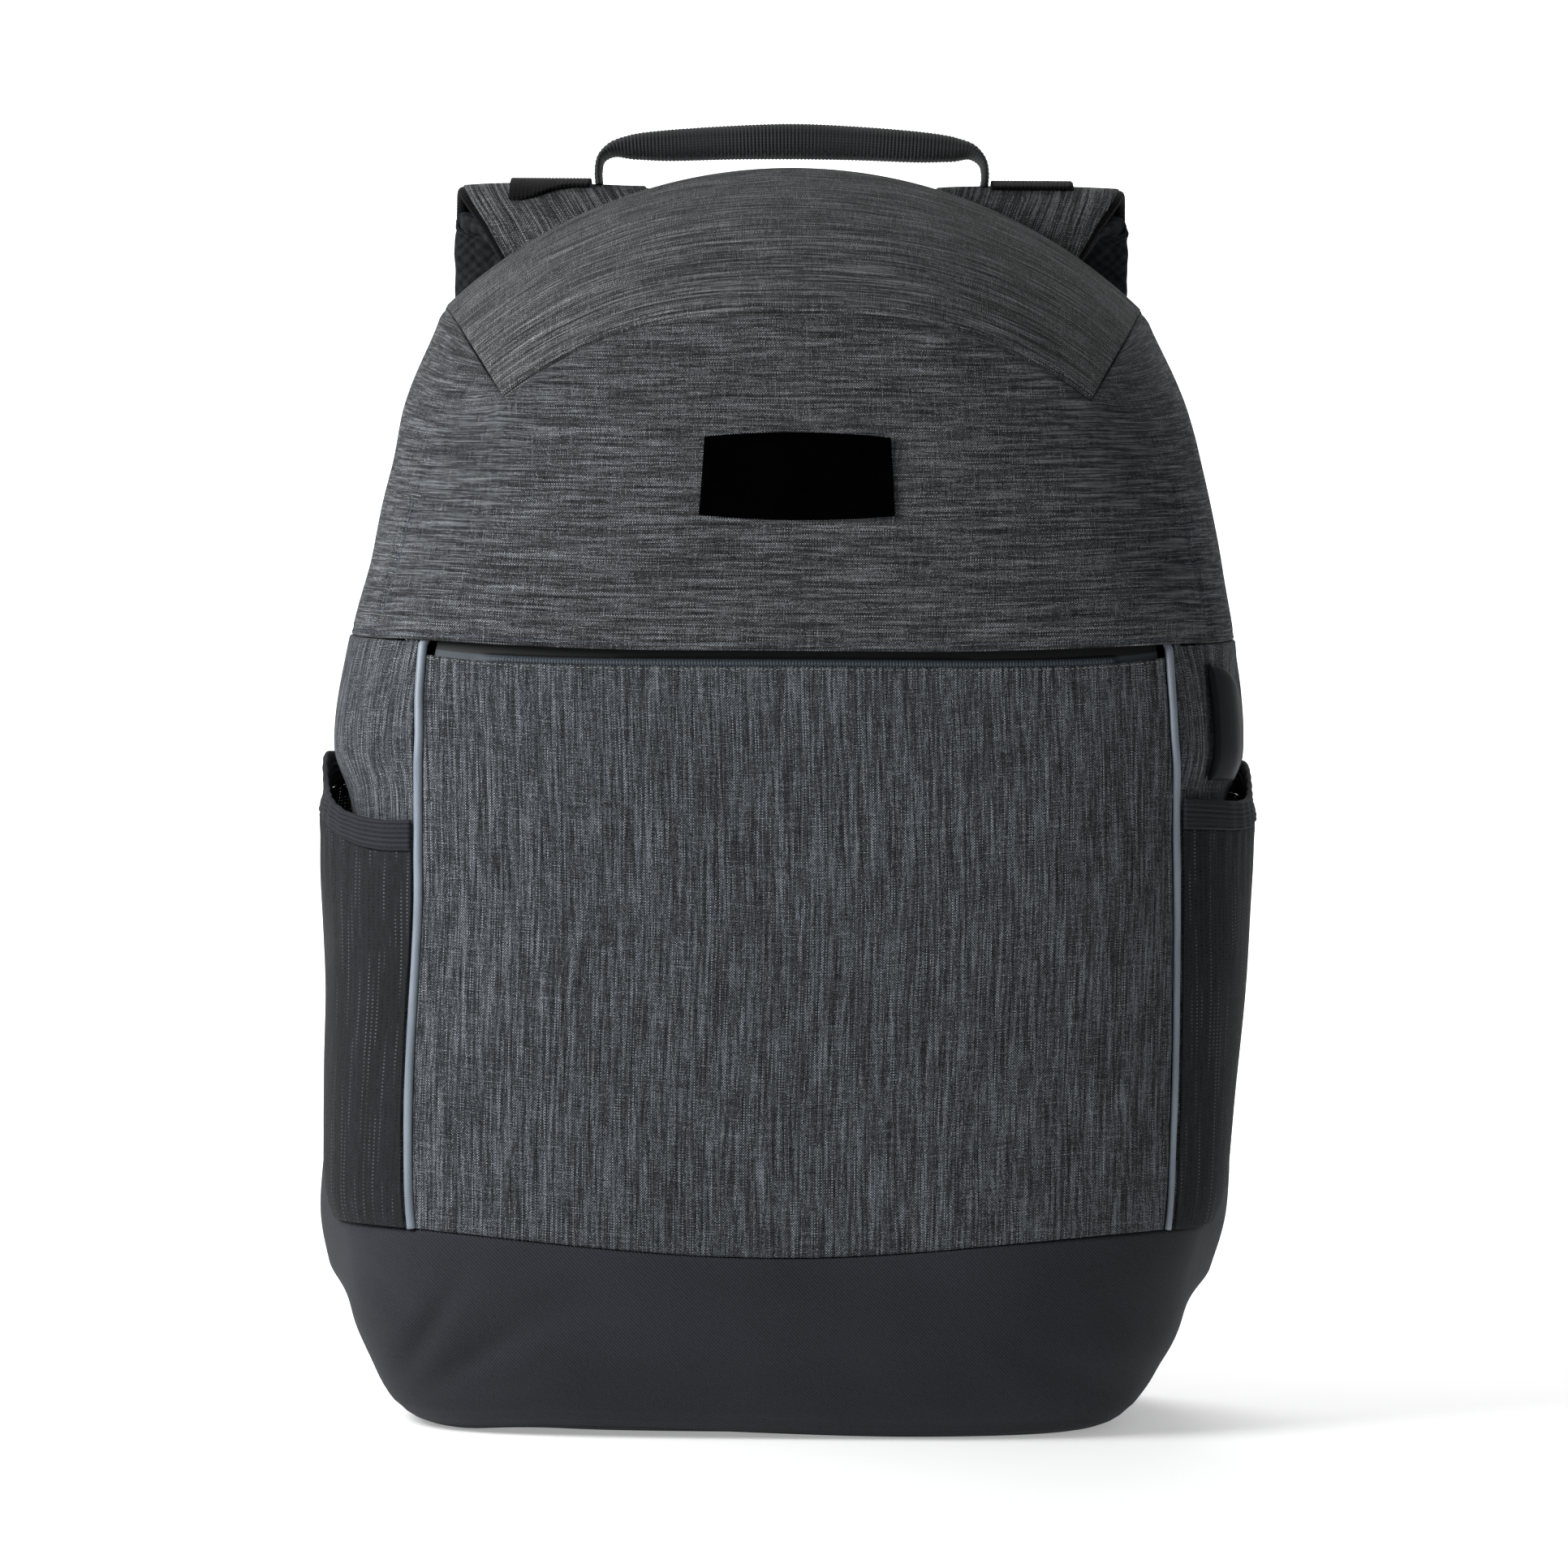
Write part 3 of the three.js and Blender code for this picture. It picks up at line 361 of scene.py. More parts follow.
def twill(name):
    finish = Finish(name, Roughness=0.78, Specular_IOR_Level=0.3)
    ribs = ((finish.u + finish.v) * 5200).wave()
    grain = finish.grain(1500, 2.0)
    cloud = finish.noise(finish.u * 14, finish.v * 20, 4.0, detail=3.0)
    value = ribs * 0.3 + grain * 0.4 + cloud * 0.3
    finish.set(Base_Color=finish.ramp(value, (0.3, "0b0d10"), (0.7, "272a31")))
    finish.bump(ribs * 0.6 + grain * 0.6, 0.0004, 0.5)
    return finish.material


# %% Net of the side pockets
NET_ROWS, NET_HOLES = 520, 800
# Pale grey painted into some of the net's holes, as the light that shows through them.
NET_PAINTED_LIGHT = (*shade("868b92"), 1.0)


def pocket_net(name):
    finish = Finish(name, Roughness=0.85, Specular_IOR_Level=0.25)
    row = (finish.u * NET_ROWS).fraction() - 0.5
    hole = (finish.v * NET_HOLES).fraction() - 0.5
    gap = (row * row * 4.2 + hole * hole * 2.6) ** 0.5
    inside = 1 - gap.step(0.22, 0.36)
    knit = finish.noise(finish.u * 900, finish.v * 260, 1.0)
    wear = finish.noise(finish.u * 90, finish.v * 9, 6.0)
    yarn = finish.ramp(knit * 0.5 + wear * 0.5, (0.3, "08090a"), (0.7, "191c20"))
    # Painted light: pale dots in the holes, only where a noise allows.
    painted_light_dots = inside * finish.noise(finish.u * 300, finish.v * 24, 8.0, detail=3.0).step(0.48, 0.62)
    finish.set(Base_Color=finish.blend(painted_light_dots * 0.5, yarn, NET_PAINTED_LIGHT))
    finish.set(Alpha=1 - inside * 0.3)
    finish.bump(gap.minimum(0.45) + knit * 0.2, 0.0005, 0.6)
    return finish.material


# %% Air mesh of the back and the straps
def air_mesh(name):
    finish = Finish(name, Roughness=0.9, Specular_IOR_Level=0.15)
    cells = ((finish.u * 1300).sine() * (finish.v * 1300).sine()) * 0.5 + 0.5
    lumps = finish.grain(160, 3.0, detail=3.0)
    yarn = finish.grain(1500, 6.0)
    value = cells * 0.3 + lumps * 0.35 + yarn * 0.35
    finish.set(Base_Color=finish.ramp(value, (0.3, "0b0c0d"), (0.7, "26282b")))
    finish.bump(cells * 0.3 + lumps * 1.2 + yarn * 0.2, 0.0014, 0.8)
    return finish.material


# %% Ribbed webbing
def webbing(name, dark, light, ribs_per_metre=620, specular=0.3):
    finish = Finish(name, Roughness=0.8, Specular_IOR_Level=specular)
    ribs = (finish.v * (ribs_per_metre * TURN)).wave()
    lengthways = (finish.u * (900 * TURN)).wave()
    grain = finish.grain(1400, 1.0)
    value = ribs * 0.4 + lengthways * 0.25 + grain * 0.35
    finish.set(Base_Color=finish.ramp(value, (0.2, dark), (0.8, light)))
    finish.bump(ribs * 0.7 + lengthways * 0.3 + grain * 0.3, 0.0005, 0.7)
    return finish.material


# %% Zip and elastic
COIL_PITCH, COIL_SLANT, COIL_BLUR = 1.05, 1.2, 0.3


def zip_coil(name, low, high):
    """A coil between two heights on a dark tape, made near black as painted shade of the slot; both
    heights in mm above the tape's lower edge.
    """
    finish = Finish(name, Roughness=0.6, Specular_IOR_Level=0.3)
    up = finish.v * 1000
    coil = up.step(low - COIL_BLUR, low + COIL_BLUR) * (1 - up.step(high - COIL_BLUR, high + COIL_BLUR))
    slant = ((finish.u * 900 - finish.v * 900) * TURN).wave()
    grain = finish.grain(2400, 2.0)
    # The tape is dark of its own, and is painted near black besides, as the shade in the slot under the
    # hem.
    tape = finish.ramp(slant * 0.6 + grain * 0.4, (0.2, "040405"), (0.8, "141516"))
    # The coil's turns are lighter on their crowns and darker between them: painted shade of its ribs,
    # which the mesh also has.
    turn = ((finish.u - finish.v * COIL_SLANT) * (TURN / (COIL_PITCH * MM))).wave()
    cord = finish.ramp(grain * 0.4 + turn * 0.6, (0.2, "14181b"), (0.7, "414a52"))
    finish.set(Base_Color=finish.blend(coil, tape, cord))
    finish.bump(grain, 0.0001, 0.3)
    return finish.material


def ribbed_elastic(name):
    finish = Finish(name, Roughness=0.85, Specular_IOR_Level=0.2)
    line = (finish.v * (620 * TURN)).wave()
    grain = finish.noise(finish.u * 1300, finish.v * 2600, 2.0)
    value = line * 0.35 + grain * 0.65
    finish.set(Base_Color=finish.ramp(value, (0.25, "101114"), (0.8, "2a2c31")))
    finish.bump(grain * 0.5 + line * 0.5, 0.0003, 0.5)
    return finish.material


# %% Reflective piping, plain patch, plastic and thread
def reflective(name):
    finish = Finish(name, Specular_IOR_Level=0.5)
    beads = finish.grain(2600, 2.0, detail=1.0)
    wear = finish.noise(finish.u * 60, finish.v * 40, 5.0, detail=3.0)
    finish.set(Base_Color=finish.ramp(beads * 0.4 + wear * 0.6, (0.3, "5e666f"), (0.7, "7d8691")))
    finish.set(Roughness=wear * 0.25 + 0.3)
    finish.bump(beads, 0.0002, 0.3)
    return finish.material


def patch_black(name):
    finish = Finish(name, Roughness=0.9, Specular_IOR_Level=0.0)
    weave = (finish.u * 5200).sine() * (finish.v * 5200).sine() * 0.5 + 0.5
    cloud = finish.grain(60, 2.0)
    finish.set(Base_Color=finish.ramp(weave * 0.5 + cloud * 0.5, (0.2, "000000"), (0.9, "050505")))
    finish.bump(weave, 0.0003, 0.35)
    return finish.material


def satin_plastic(name):
    finish = Finish(name, Specular_IOR_Level=0.1)
    fine, broad = finish.solid_noise(2400.0, 1.0), finish.solid_noise(60.0, 2.0)
    finish.set(Base_Color=finish.ramp(broad, (0.3, "0d0f12"), (0.7, "121418")))
    finish.set(Roughness=fine * 0.12 + broad * 0.08 + 0.5)
    finish.bump(fine, 0.0001, 0.25)
    return finish.material


def thread(name, colour):
    finish = Finish(name, Roughness=0.75, Specular_IOR_Level=0.3)
    twist = finish.solid_noise(1800.0, 2.0)
    light = tuple(min(part * 1.7 + 0.004, 1) for part in shade(colour))
    finish.set(Base_Color=finish.ramp(twist, (0.3, colour), (0.75, light)))
    finish.bump(twist, 0.0002, 0.5)
    return finish.material


# %% The finishes
ZIP_COIL_LOW, ZIP_COIL_HIGH = 7.2, 10.6
TWILL = twill("charcoal_twill")
POCKET_NET = pocket_net("pocket_net")
AIR_MESH = air_mesh("air_mesh")
BLACK_WEBBING = webbing("black_webbing", "010101", "0a0a0b", specular=0.12)
ELASTIC = ribbed_elastic("pocket_elastic")
GRIP = webbing("grip_webbing", "0e0f10", "2e3132", 760)
# The zip's tape carries painted shade: it is near black for the shadow in the slot.
ZIP_TAPE_PAINTED_SHADE = zip_coil("zip_tape_painted_shade", ZIP_COIL_LOW, ZIP_COIL_HIGH)
REFLECTIVE = reflective("reflective_piping")
PATCH = patch_black("plain_patch")
PLASTIC = satin_plastic("satin_plastic")
DARK_THREAD = thread("dark_thread", "1b1e22")
SLATE_THREAD = thread("slate_thread", "343c48")
PALE_THREAD = thread("pale_thread", "6a6a66")
floor_finish = Finish("pale_sweep", Roughness=0.9, Specular_IOR_Level=0.1)
soft_mark = floor_finish.grain(3, 0.0)
FLOOR_DIM, FLOOR_BRIGHT = (0.88, 0.88, 0.88), (0.91, 0.91, 0.91)
floor_finish.set(Base_Color=floor_finish.ramp(soft_mark, (0.0, FLOOR_DIM), (1.0, FLOOR_BRIGHT)))
floor_finish.set(Emission_Color=(1, 1, 1, 1), Emission_Strength=0.32)
sweep.data.materials.append(floor_finish.material)
print("finishes:", len(bpy.data.materials))

# %% [markdown]
# ## The body's surface
# The front shell is a stack of rounded outlines, each half of which is measured along the cloth: s runs
# from -1 at the left rim over 0 in front to 1 at the right rim, and z is the height. A table of sections
# gives the outlines, and a smooth curve runs through each column. All the panels are cut from this one
# surface, so that neighbours meet in their seams.

# %% Sections of the body
SECTION_COLUMNS = ("z", "lean", "half", "front", "widest", "square")
SECTIONS = np.array([
    (0, -7, 117, -47, 25, 4.4),
    (3, -7, 123.5, -53.5, 25, 4.4),
    (9, -7, 130, -59, 25, 4.3),
    (20, -6.5, 136.5, -63.5, 25, 4.2),
    (34, -6, 143, -66, 25, 4.2),
    (52, -5.5, 147.5, -67, 25, 4.2),
    (74, -4, 152, -68, 25, 4.2),
    (100, -2.5, 151, -69, 25, 4.3),
    (150, -0.5, 149.5, -70, 25, 4.3),
    (200, 0, 150, -69.5, 25, 4.3),
    (216, 0.1, 152, -69, 25, 4.3),
    (232, 0.3, 157.5, -68, 25, 4.2),
    (265, 1.2, 154.5, -65, 26, 4),
    (300, 2.5, 148, -59.5, 30, 3.7),
    (330, 2.8, 143, -53, 35, 3.4),
    (355, 2.2, 141, -46, 40, 3.1),
    (380, 1.5, 133.5, -38, 46, 2.9),
    (396, 1, 126, -32, 50, 2.8),
])


def smooth_curve(keys, values, at):
    """A smooth curve through a column of a table, read at many places."""
    at = np.asarray(at, float)
    inner = np.arange(len(keys))
    before, after = np.maximum(inner - 1, 0), np.minimum(inner + 1, len(keys) - 1)
    slopes = (values[after] - values[before]) / (keys[after] - keys[before])
    i = np.searchsorted(keys[1:-1], at)
    span = keys[i + 1] - keys[i]
    t = np.clip((at - keys[i]) / span, 0, 1)
    rise = t * t * (3 - 2 * t)
    leave = t * (1 - t) ** 2 * span * slopes[i]
    arrive = t * t * (t - 1) * span * slopes[i + 1]
    return values[i] + (values[i + 1] - values[i]) * rise + leave + arrive


def section(name, z):
    return smooth_curve(SECTIONS[:, 0], SECTIONS[:, SECTION_COLUMNS.index(name)], z)


def smoothstep(x, low, high):
    """0 below low, 1 above high, smooth between."""
    t = np.clip((np.asarray(x, float) - low) / (high - low), 0, 1)
    return t * t * (3 - 2 * t)


def mix(a, b, t):
    return a + (b - a) * t


print("half width at a height of 150 mm:", section("half", 150))

# %% Points on an outline
REAR_DEPTH, FRONT_CROWN = 64, 5
OUTLINE_STEPS, POINTS_AT_ONCE = 110, 8000


def outline_run(z):
    """Half outlines at many heights: x, y and the length along the cloth, one row per height."""
    half, widest = section("half", z)[:, None], section("widest", z)[:, None]
    power = 2 / section("square", z)[:, None]
    depth = widest - section("front", z)[:, None]
    tuck = ((RIM_Y - widest) / REAR_DEPTH) ** (1 / power)
    angle = (math.pi / 2 + np.arcsin(tuck)) * np.linspace(0, 1, OUTLINE_STEPS + 1)
    across = np.abs(np.sin(angle)) ** power
    along = np.abs(np.cos(angle)) ** power
    forward = depth * along + FRONT_CROWN * along * (1 - across * across)
    y = np.where(angle < math.pi / 2, widest - forward, widest + REAR_DEPTH * along)
    x = half * across
    steps = np.hypot(np.diff(x, axis=1), np.diff(y, axis=1))
    return x, y, np.pad(np.cumsum(steps, axis=1), ((0, 0), (1, 0)))


def outline_point(s, z):
    """Points on the outlines, found a few thousand at a time to save memory."""
    s, z = np.broadcast_arrays(np.asarray(s, float), np.asarray(z, float))
    all_s, all_z = s.ravel(), z.ravel()
    out = np.empty((all_s.size, 3))
    for start in range(0, all_s.size, POINTS_AT_ONCE):
        part = slice(start, start + POINTS_AT_ONCE)
        part_s, part_z = all_s[part], all_z[part]
        x, y, length = outline_run(part_z)
        wanted = np.minimum(np.abs(part_s), 1) * length[:, -1]
        i = np.clip((length < wanted[:, None]).sum(axis=1), 1, OUTLINE_STEPS)
        row = np.arange(len(i))
        t = (wanted - length[row, i - 1]) / (length[row, i] - length[row, i - 1])
        out[part, 0] = np.sign(part_s) * mix(x[row, i - 1], x[row, i], t) + section("lean", part_z)
        out[part, 1] = mix(y[row, i - 1], y[row, i], t)
        out[part, 2] = part_z
    return out.reshape(*s.shape, 3)


def outline_length(z):
    z = np.asarray(z, float)
    return outline_run(z.ravel())[2][:, -1].reshape(z.shape)


def share(length, z):
    """The share of the half outline that a length along the cloth takes up at a height."""
    return length / outline_length(z)


print("cloth from the front to a rim there:", outline_length(np.array([150.0])).round(1))

# %% Shoulders and darts
ARCH_TOP_Z, ARCH_DROP, ARCH_S = 379.5, 28.5, 0.445
DART_REAR_Z, DART_BULGE, SHOULDER_Z = 392, 7, 312
DART_OUT, DART_FORWARD, DART_UP = 0.5, -0.25, 0.83
SHOULDER_ROLL = 2.4


def unit(vectors):
    return vectors / np.linalg.norm(vectors, axis=-1, keepdims=True)


def dart_way(side):
    """The direction in which a dart swells: mostly up, and out to its side."""
    forward, up = np.full_like(side, DART_FORWARD), np.full_like(side, DART_UP)
    return unit(np.stack([side * DART_OUT, forward, up], axis=-1))


def dart_point(side, t):
    """A dart's seam, from the end of the arch at t = 0 to the rear rim at t = 1."""
    side, t = np.broadcast_arrays(np.asarray(side, float), np.asarray(t, float))
    corner = outline_point(side * ARCH_S, ARCH_TOP_Z - ARCH_DROP)
    rear = outline_point(side, DART_REAR_Z)
    return mix(corner, rear, t[..., None]) + dart_way(side) * (DART_BULGE * 4 * t * (1 - t))[..., None]


def hood_top(s):
    """The hood's upper edge: the arch in front and a dart on each side."""
    reach = np.abs(s) / ARCH_S
    arch = ARCH_TOP_Z - ARCH_DROP * np.minimum(reach, 1) ** 3
    dart = dart_point(np.sign(s), np.clip((np.abs(s) - ARCH_S) / (1 - ARCH_S), 0, 1))[..., 2]
    return np.where(reach <= 1, arch, dart)


def body_point(s, z):
    """Points on the body: the outlines, rolled in to the darts at the shoulders."""
    s, z = np.broadcast_arrays(np.asarray(s, float), np.asarray(z, float))
    point = outline_point(s, z)
    rolled = (np.abs(s) > ARCH_S) & (z > SHOULDER_Z)
    if rolled.any():
        side = s[rolled]
        top = dart_point(np.sign(side), (np.abs(side) - ARCH_S) / (1 - ARCH_S))
        roll = top - outline_point(side, top[:, 2])
        reach = np.clip((z[rolled] - SHOULDER_Z) / (top[:, 2] - SHOULDER_Z), 0, 1)
        point[rolled] += roll * (reach ** SHOULDER_ROLL)[:, None]
    return point


print("top of the hood in front:", hood_top(np.zeros(1)))

# %% [markdown]
# ## From a grid to a piece of cloth
# Each panel is a grid of points on that surface. Normals come from the grid itself. The cloth gets an
# outer face, an inner face and edges that are rounded over, because a cut edge is always folded in. The
# distances along the grid go into an attribute, so the weave follows the cloth and not the world.

# %% Cloth from a grid
EDGE_SPACING = np.array([0, 0.06, 0.16, 0.3, 0.48, 0.7, 1.0])
OUTER_ROUND, INNER_ROUND = 0.48, 0.45


def grid_normals(points):
    across = np.gradient(points, axis=0)
    up = np.gradient(points, axis=1)
    return unit(np.cross(across, up))


def run_lengths(points, axis):
    """How far along a grid's rows or columns each of its points is."""
    steps = np.linalg.norm(np.diff(points, axis=axis), axis=-1)
    pad = ((1, 0), (0, 0)) if axis == 0 else ((0, 0), (1, 0))
    return np.pad(np.cumsum(steps, axis=axis), pad)


def line_lengths(line):
    """How far along a line each of its points is."""
    return np.concatenate([[0], np.cumsum(np.linalg.norm(np.diff(line, axis=0), axis=1))])


def stations(length, step, edge=2.2):
    """Fractions from 0 to 1 along a length in mm, close together at both edges."""
    near = EDGE_SPACING * edge
    inner = np.linspace(edge, length - edge, max(int((length - 2 * edge) / step), 2) + 1)[1:-1]
    return np.concatenate([near, inner, length - near[::-1]]) / length


def cut_area(points):
    """The area of a grid, as two triangles for each of its quads."""
    start = points[:-1, :-1]
    a = np.cross(points[1:, :-1] - start, points[1:, 1:] - start)
    b = np.cross(points[1:, 1:] - start, points[:-1, 1:] - start)
    return (np.linalg.norm(a, axis=-1).sum() + np.linalg.norm(b, axis=-1).sum()) / 2


def cloth_piece(name, points, thick, offset=0.0, roll=None):
    """A closed piece of cloth whose outer face is offset from a grid of points along its normals."""
    columns, rows = points.shape[:2]
    normals = grid_normals(points)
    u, v = run_lengths(points, 0), run_lengths(points, 1)
    edge = np.minimum(np.minimum(u, u[-1:] - u), np.minimum(v, v[:, -1:] - v))
    radius = (thick if roll is None else roll) * OUTER_ROUND
    inside = 1 - np.clip(edge / radius, 0, 1)
    drop = radius * (1 - np.sqrt(1 - inside ** 2))
    outer = points + normals * (offset - drop)[..., None]
    inner = points + normals * (offset - thick + np.minimum(drop, thick * INNER_ROUND))[..., None]
    size = columns * rows
    ring = np.concatenate([
        np.arange(columns) * rows,
        (columns - 1) * rows + np.arange(1, rows),
        (np.arange(columns - 2, -1, -1)) * rows + rows - 1,
        np.arange(rows - 2, 0, -1),
    ])
    after = np.roll(ring, -1)
    rim = np.stack([ring, ring + size, after + size, after], axis=-1)
    faces = np.concatenate([grid_faces(columns, rows), grid_faces(columns, rows, size, True), rim])
    u = u - u[columns // 2:columns // 2 + 1]
    flat = np.stack([u, v, np.zeros_like(u)], axis=-1).reshape(-1, 3)
    both = np.concatenate([outer.reshape(-1, 3), inner.reshape(-1, 3)])
    piece = new_object(name, both, faces, np.concatenate([flat, flat]))
    piece["cut_area"] = float(cut_area(outer) * MM * MM)
    return piece, outer


def dress(piece, finish, slot, *nodes):
    """Finish, body and the nodes that a piece stands for; the slot is not used."""
    piece.data.materials.append(finish)
    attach(piece, "root")
    if nodes:
        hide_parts(*nodes)
    print(piece.name, "faces:", len(piece.data.polygons))
    return piece


print("columns on 100 mm of cloth:", len(stations(100, 2.0)))


# %% Soft unevenness
def soft_waves(a, b, seed, count=9, longest=90.0, shortest=28.0):
    """Gentle unevenness of filled cloth: a few waves in seeded directions, about 1 high at most."""
    draw = np.random.default_rng(seed)
    total = np.zeros(np.broadcast(a, b).shape)
    for _ in range(count):
        length = draw.uniform(shortest, longest)
        turn, phase = draw.uniform(0, math.pi), draw.uniform(0, 2 * math.pi)
        total += np.sin((a * math.cos(turn) + b * math.sin(turn)) * 2 * math.pi / length + phase)
    return total / count


def groove(distance, wide, deep):
    """A rounded furrow along a line; a negative depth makes a ridge."""
    return -deep * np.exp(-(distance / wide) ** 2)


print("highest of some waves:", soft_waves(np.arange(200.0), 0.0, 1).max().round(2))

# %% [markdown]
# ## Sewing thread
# Stitches are short lengths of thread that dip into the cloth at both ends. Each is a little bowed tube
# laid on the seam, so it catches light as thread does. Painted dashes would do from far off, but they
# cast no shadow. A whole seam of stitches is one mesh.

# %% Stitches along a line
STITCH_SIDES = 5
STITCH_RISE = np.array([-0.35, 0.45, 0.6, 0.45, -0.35])
STITCH_THIN = np.array([0.55, 1, 1, 1, 0.55])


def even_line(points, step):
    """The same line with its points a step apart."""
    lengths = line_lengths(points)
    count = max(int(lengths[-1] / step), 1)
    wanted = np.linspace(0, lengths[-1], count + 1)
    return np.stack([np.interp(wanted, lengths, points[:, k]) for k in range(3)], axis=-1)


def stitches(name, lines, normals, long=3.4, gap=0.8, radius=0.3, finish=DARK_THREAD, slot="webbing"):
    """Rows of stitches on lines of points, with the cloth's normal beside each point."""
    verts, faces = [], []
    sides, rings = STITCH_SIDES, len(STITCH_RISE)
    turn = np.linspace(0, 2 * math.pi, sides, endpoint=False)
    rise, thin = STITCH_RISE * radius, STITCH_THIN * radius
    for line, normal in zip(lines, normals):
        joined = np.concatenate([line, normal], axis=1)
        lengths = line_lengths(line)
        for start in np.arange(gap, lengths[-1] - long, long + gap):
            where = np.linspace(start, start + long, rings)
            at = np.stack([np.interp(where, lengths, joined[:, k]) for k in range(6)], axis=-1)
            way, up = unit(np.gradient(at[:, :3], axis=0)), unit(at[:, 3:])
            side = unit(np.cross(way, up))
            first = len(verts) * sides * rings
            ring = at[:, None, :3] + (up * rise[:, None])[:, None]
            ring = ring + side[:, None] * (np.cos(turn)[None] * thin[:, None])[..., None]
            ring = ring + up[:, None] * (np.sin(turn)[None] * thin[:, None])[..., None]
            verts.append(ring.reshape(-1, 3))
            for r in range(rings - 1):
                for k in range(sides):
                    a, b = first + r * sides + k, first + r * sides + (k + 1) % sides
                    faces.append((a, b, b + sides, a + sides))
    piece = new_object(name, np.concatenate(verts), faces)
    return dress(piece, finish, slot)


# %% [markdown]
# ## The hood
# The hood is the upper front. It wraps round to the rear rim and its hem hangs free over the pocket's
# slot. On the real bag a faint seam runs up each side of it. The grid has columns from rim to rim, and
# the hem's fold, the seams and the soft filling are added as height over the cloth, which is quicker than
# a cloth simulation and stays where the photograph shows it.

# %% Hood panel
CLOTH, SEAM_CLEAR = 2.2, 0.06
HEM_Z, HEM_SIDE_RISE, HEM_LIFT, HEM_STITCH = 263.8, 10, 2.9, 2.2
PIPING_S, HOOD_SEAM_S, HOOD_SEAM_LEAN = 0.487, 0.565, 0.02
NEAR_RIM_S, NEAR_RIM = 0.985, 0.015


def hem_z(s):
    return HEM_Z + HEM_SIDE_RISE * smoothstep(np.abs(s), 0.15, 1)


def hood_offset(s, z):
    """The hem stands off the pocket in front and lies flat on the sides."""
    front = 1 - smoothstep(np.abs(s), PIPING_S, PIPING_S + 0.1)
    return HEM_LIFT * front * (1 - smoothstep(z, hem_z(s) + 8, hem_z(s) + 32))


def rim_to_rim(middle_s, middle_count, side_count):
    """Columns from the left rim to the right one, closest together at the rims."""
    middle = np.linspace(0, middle_s, middle_count)
    outside = np.linspace(middle_s, NEAR_RIM_S, side_count)
    rim = 1 - NEAR_RIM * (1 - stations(8, 1.5)) ** 2
    half = np.unique(np.concatenate([middle, outside, rim]))
    return np.concatenate([-half[:0:-1], half])[:, None]


hood_s = rim_to_rim(ARCH_S, 60, 70)
hood_v = stations(112, 1.8)[None]
hood_z = mix(hem_z(hood_s), hood_top(hood_s) - SEAM_CLEAR, hood_v)
hood_points = body_point(hood_s, hood_z)
hood_across = hood_s * outline_length(hood_z)
hood_high = hood_z - hem_z(hood_s)
hood_seam_line = HOOD_SEAM_S - HOOD_SEAM_LEAN * smoothstep(hood_z, 270, 360)
seam_gap = (np.abs(hood_s) - hood_seam_line) * outline_length(hood_z)
from_arch = hood_top(hood_s) - hood_z
loose = smoothstep(hood_high, 4, 30) * smoothstep(from_arch, 1, 20)
side_seam = groove(seam_gap, 1.2, 1.0) + groove(seam_gap - 5, 3.5, -0.5)
hood_height = hood_offset(hood_s, hood_z)
hood_height = hood_height + 0.9 * soft_waves(hood_across, hood_z, 3) * loose
hood_height = hood_height + side_seam * (1 - 0.75 * smoothstep(hood_z, 300, 345))
hood_height = hood_height + groove(from_arch, 1.8, 0.8) + groove(from_arch - 4.5, 2.0, -0.35)
hood_height = hood_height + groove(hood_high - HEM_STITCH, 0.9, 0.3)
hood, hood_outer = cloth_piece("hood", hood_points, CLOTH, hood_height)
dress(hood, HEATHER_ACROSS, "heather", "hood_panel")

# %% Seams of the hood
SEAM_STITCH_S = HOOD_SEAM_S - 0.006
hood_normals = grid_normals(hood_outer)
seam_rows = slice(10, len(hood_v[0]) // 2)
seam_columns = [np.argmin(np.abs(hood_s[:, 0] - side * SEAM_STITCH_S)) for side, _ in SIDES]
stitches(
    "hood_side_stitching", [hood_outer[column, seam_rows] for column in seam_columns],
    [hood_normals[column, seam_rows] for column in seam_columns],
    long=2.2, gap=0.7, radius=0.3, finish=SLATE_THREAD, slot="heather",
)
hem_row = np.argmin(np.abs(hood_high[len(hood_s) // 2] - HEM_STITCH))
stitches(
    "hood_hem_stitching", [hood_outer[:, hem_row]], [hood_normals[:, hem_row]],
    long=2.2, gap=0.9, radius=0.16, finish=SLATE_THREAD, slot="heather",
)

# %% [markdown]
# ## The top gusset
# The gusset is the arched band over the top. Its threads follow the arch. It meets the hood in the arched
# seam and in a dart at each end, where both cloths turn in, so their rounded edges make the seam's valley.
# It is drawn straight from the seam to the rear rim and then swelled, as a filled band would be.

# %% Gusset panel
RIM_PEAK_Z, GUSSET_BULGE = 443, 9
GUSSET_WAY = np.array([0, -0.45, 0.89])
GUSSET_END, GUSSET_START = 0.9995, 0.0006


def rim_arch(u):
    """The rear rim over the top: an arc from the left shoulder at -1 to the right one at 1."""
    right, left = outline_point(1, DART_REAR_Z), outline_point(-1, DART_REAR_Z)
    chord, rise = (right[0] - left[0]) / 2, RIM_PEAK_Z - DART_REAR_Z
    radius = (chord * chord + rise * rise) / (2 * rise)
    angle = u * math.asin(chord / radius)
    x = (right[0] + left[0]) / 2 + radius * np.sin(angle)
    z = RIM_PEAK_Z - radius + radius * np.cos(angle)
    return np.stack([x, np.full_like(x, RIM_Y), z], axis=-1)


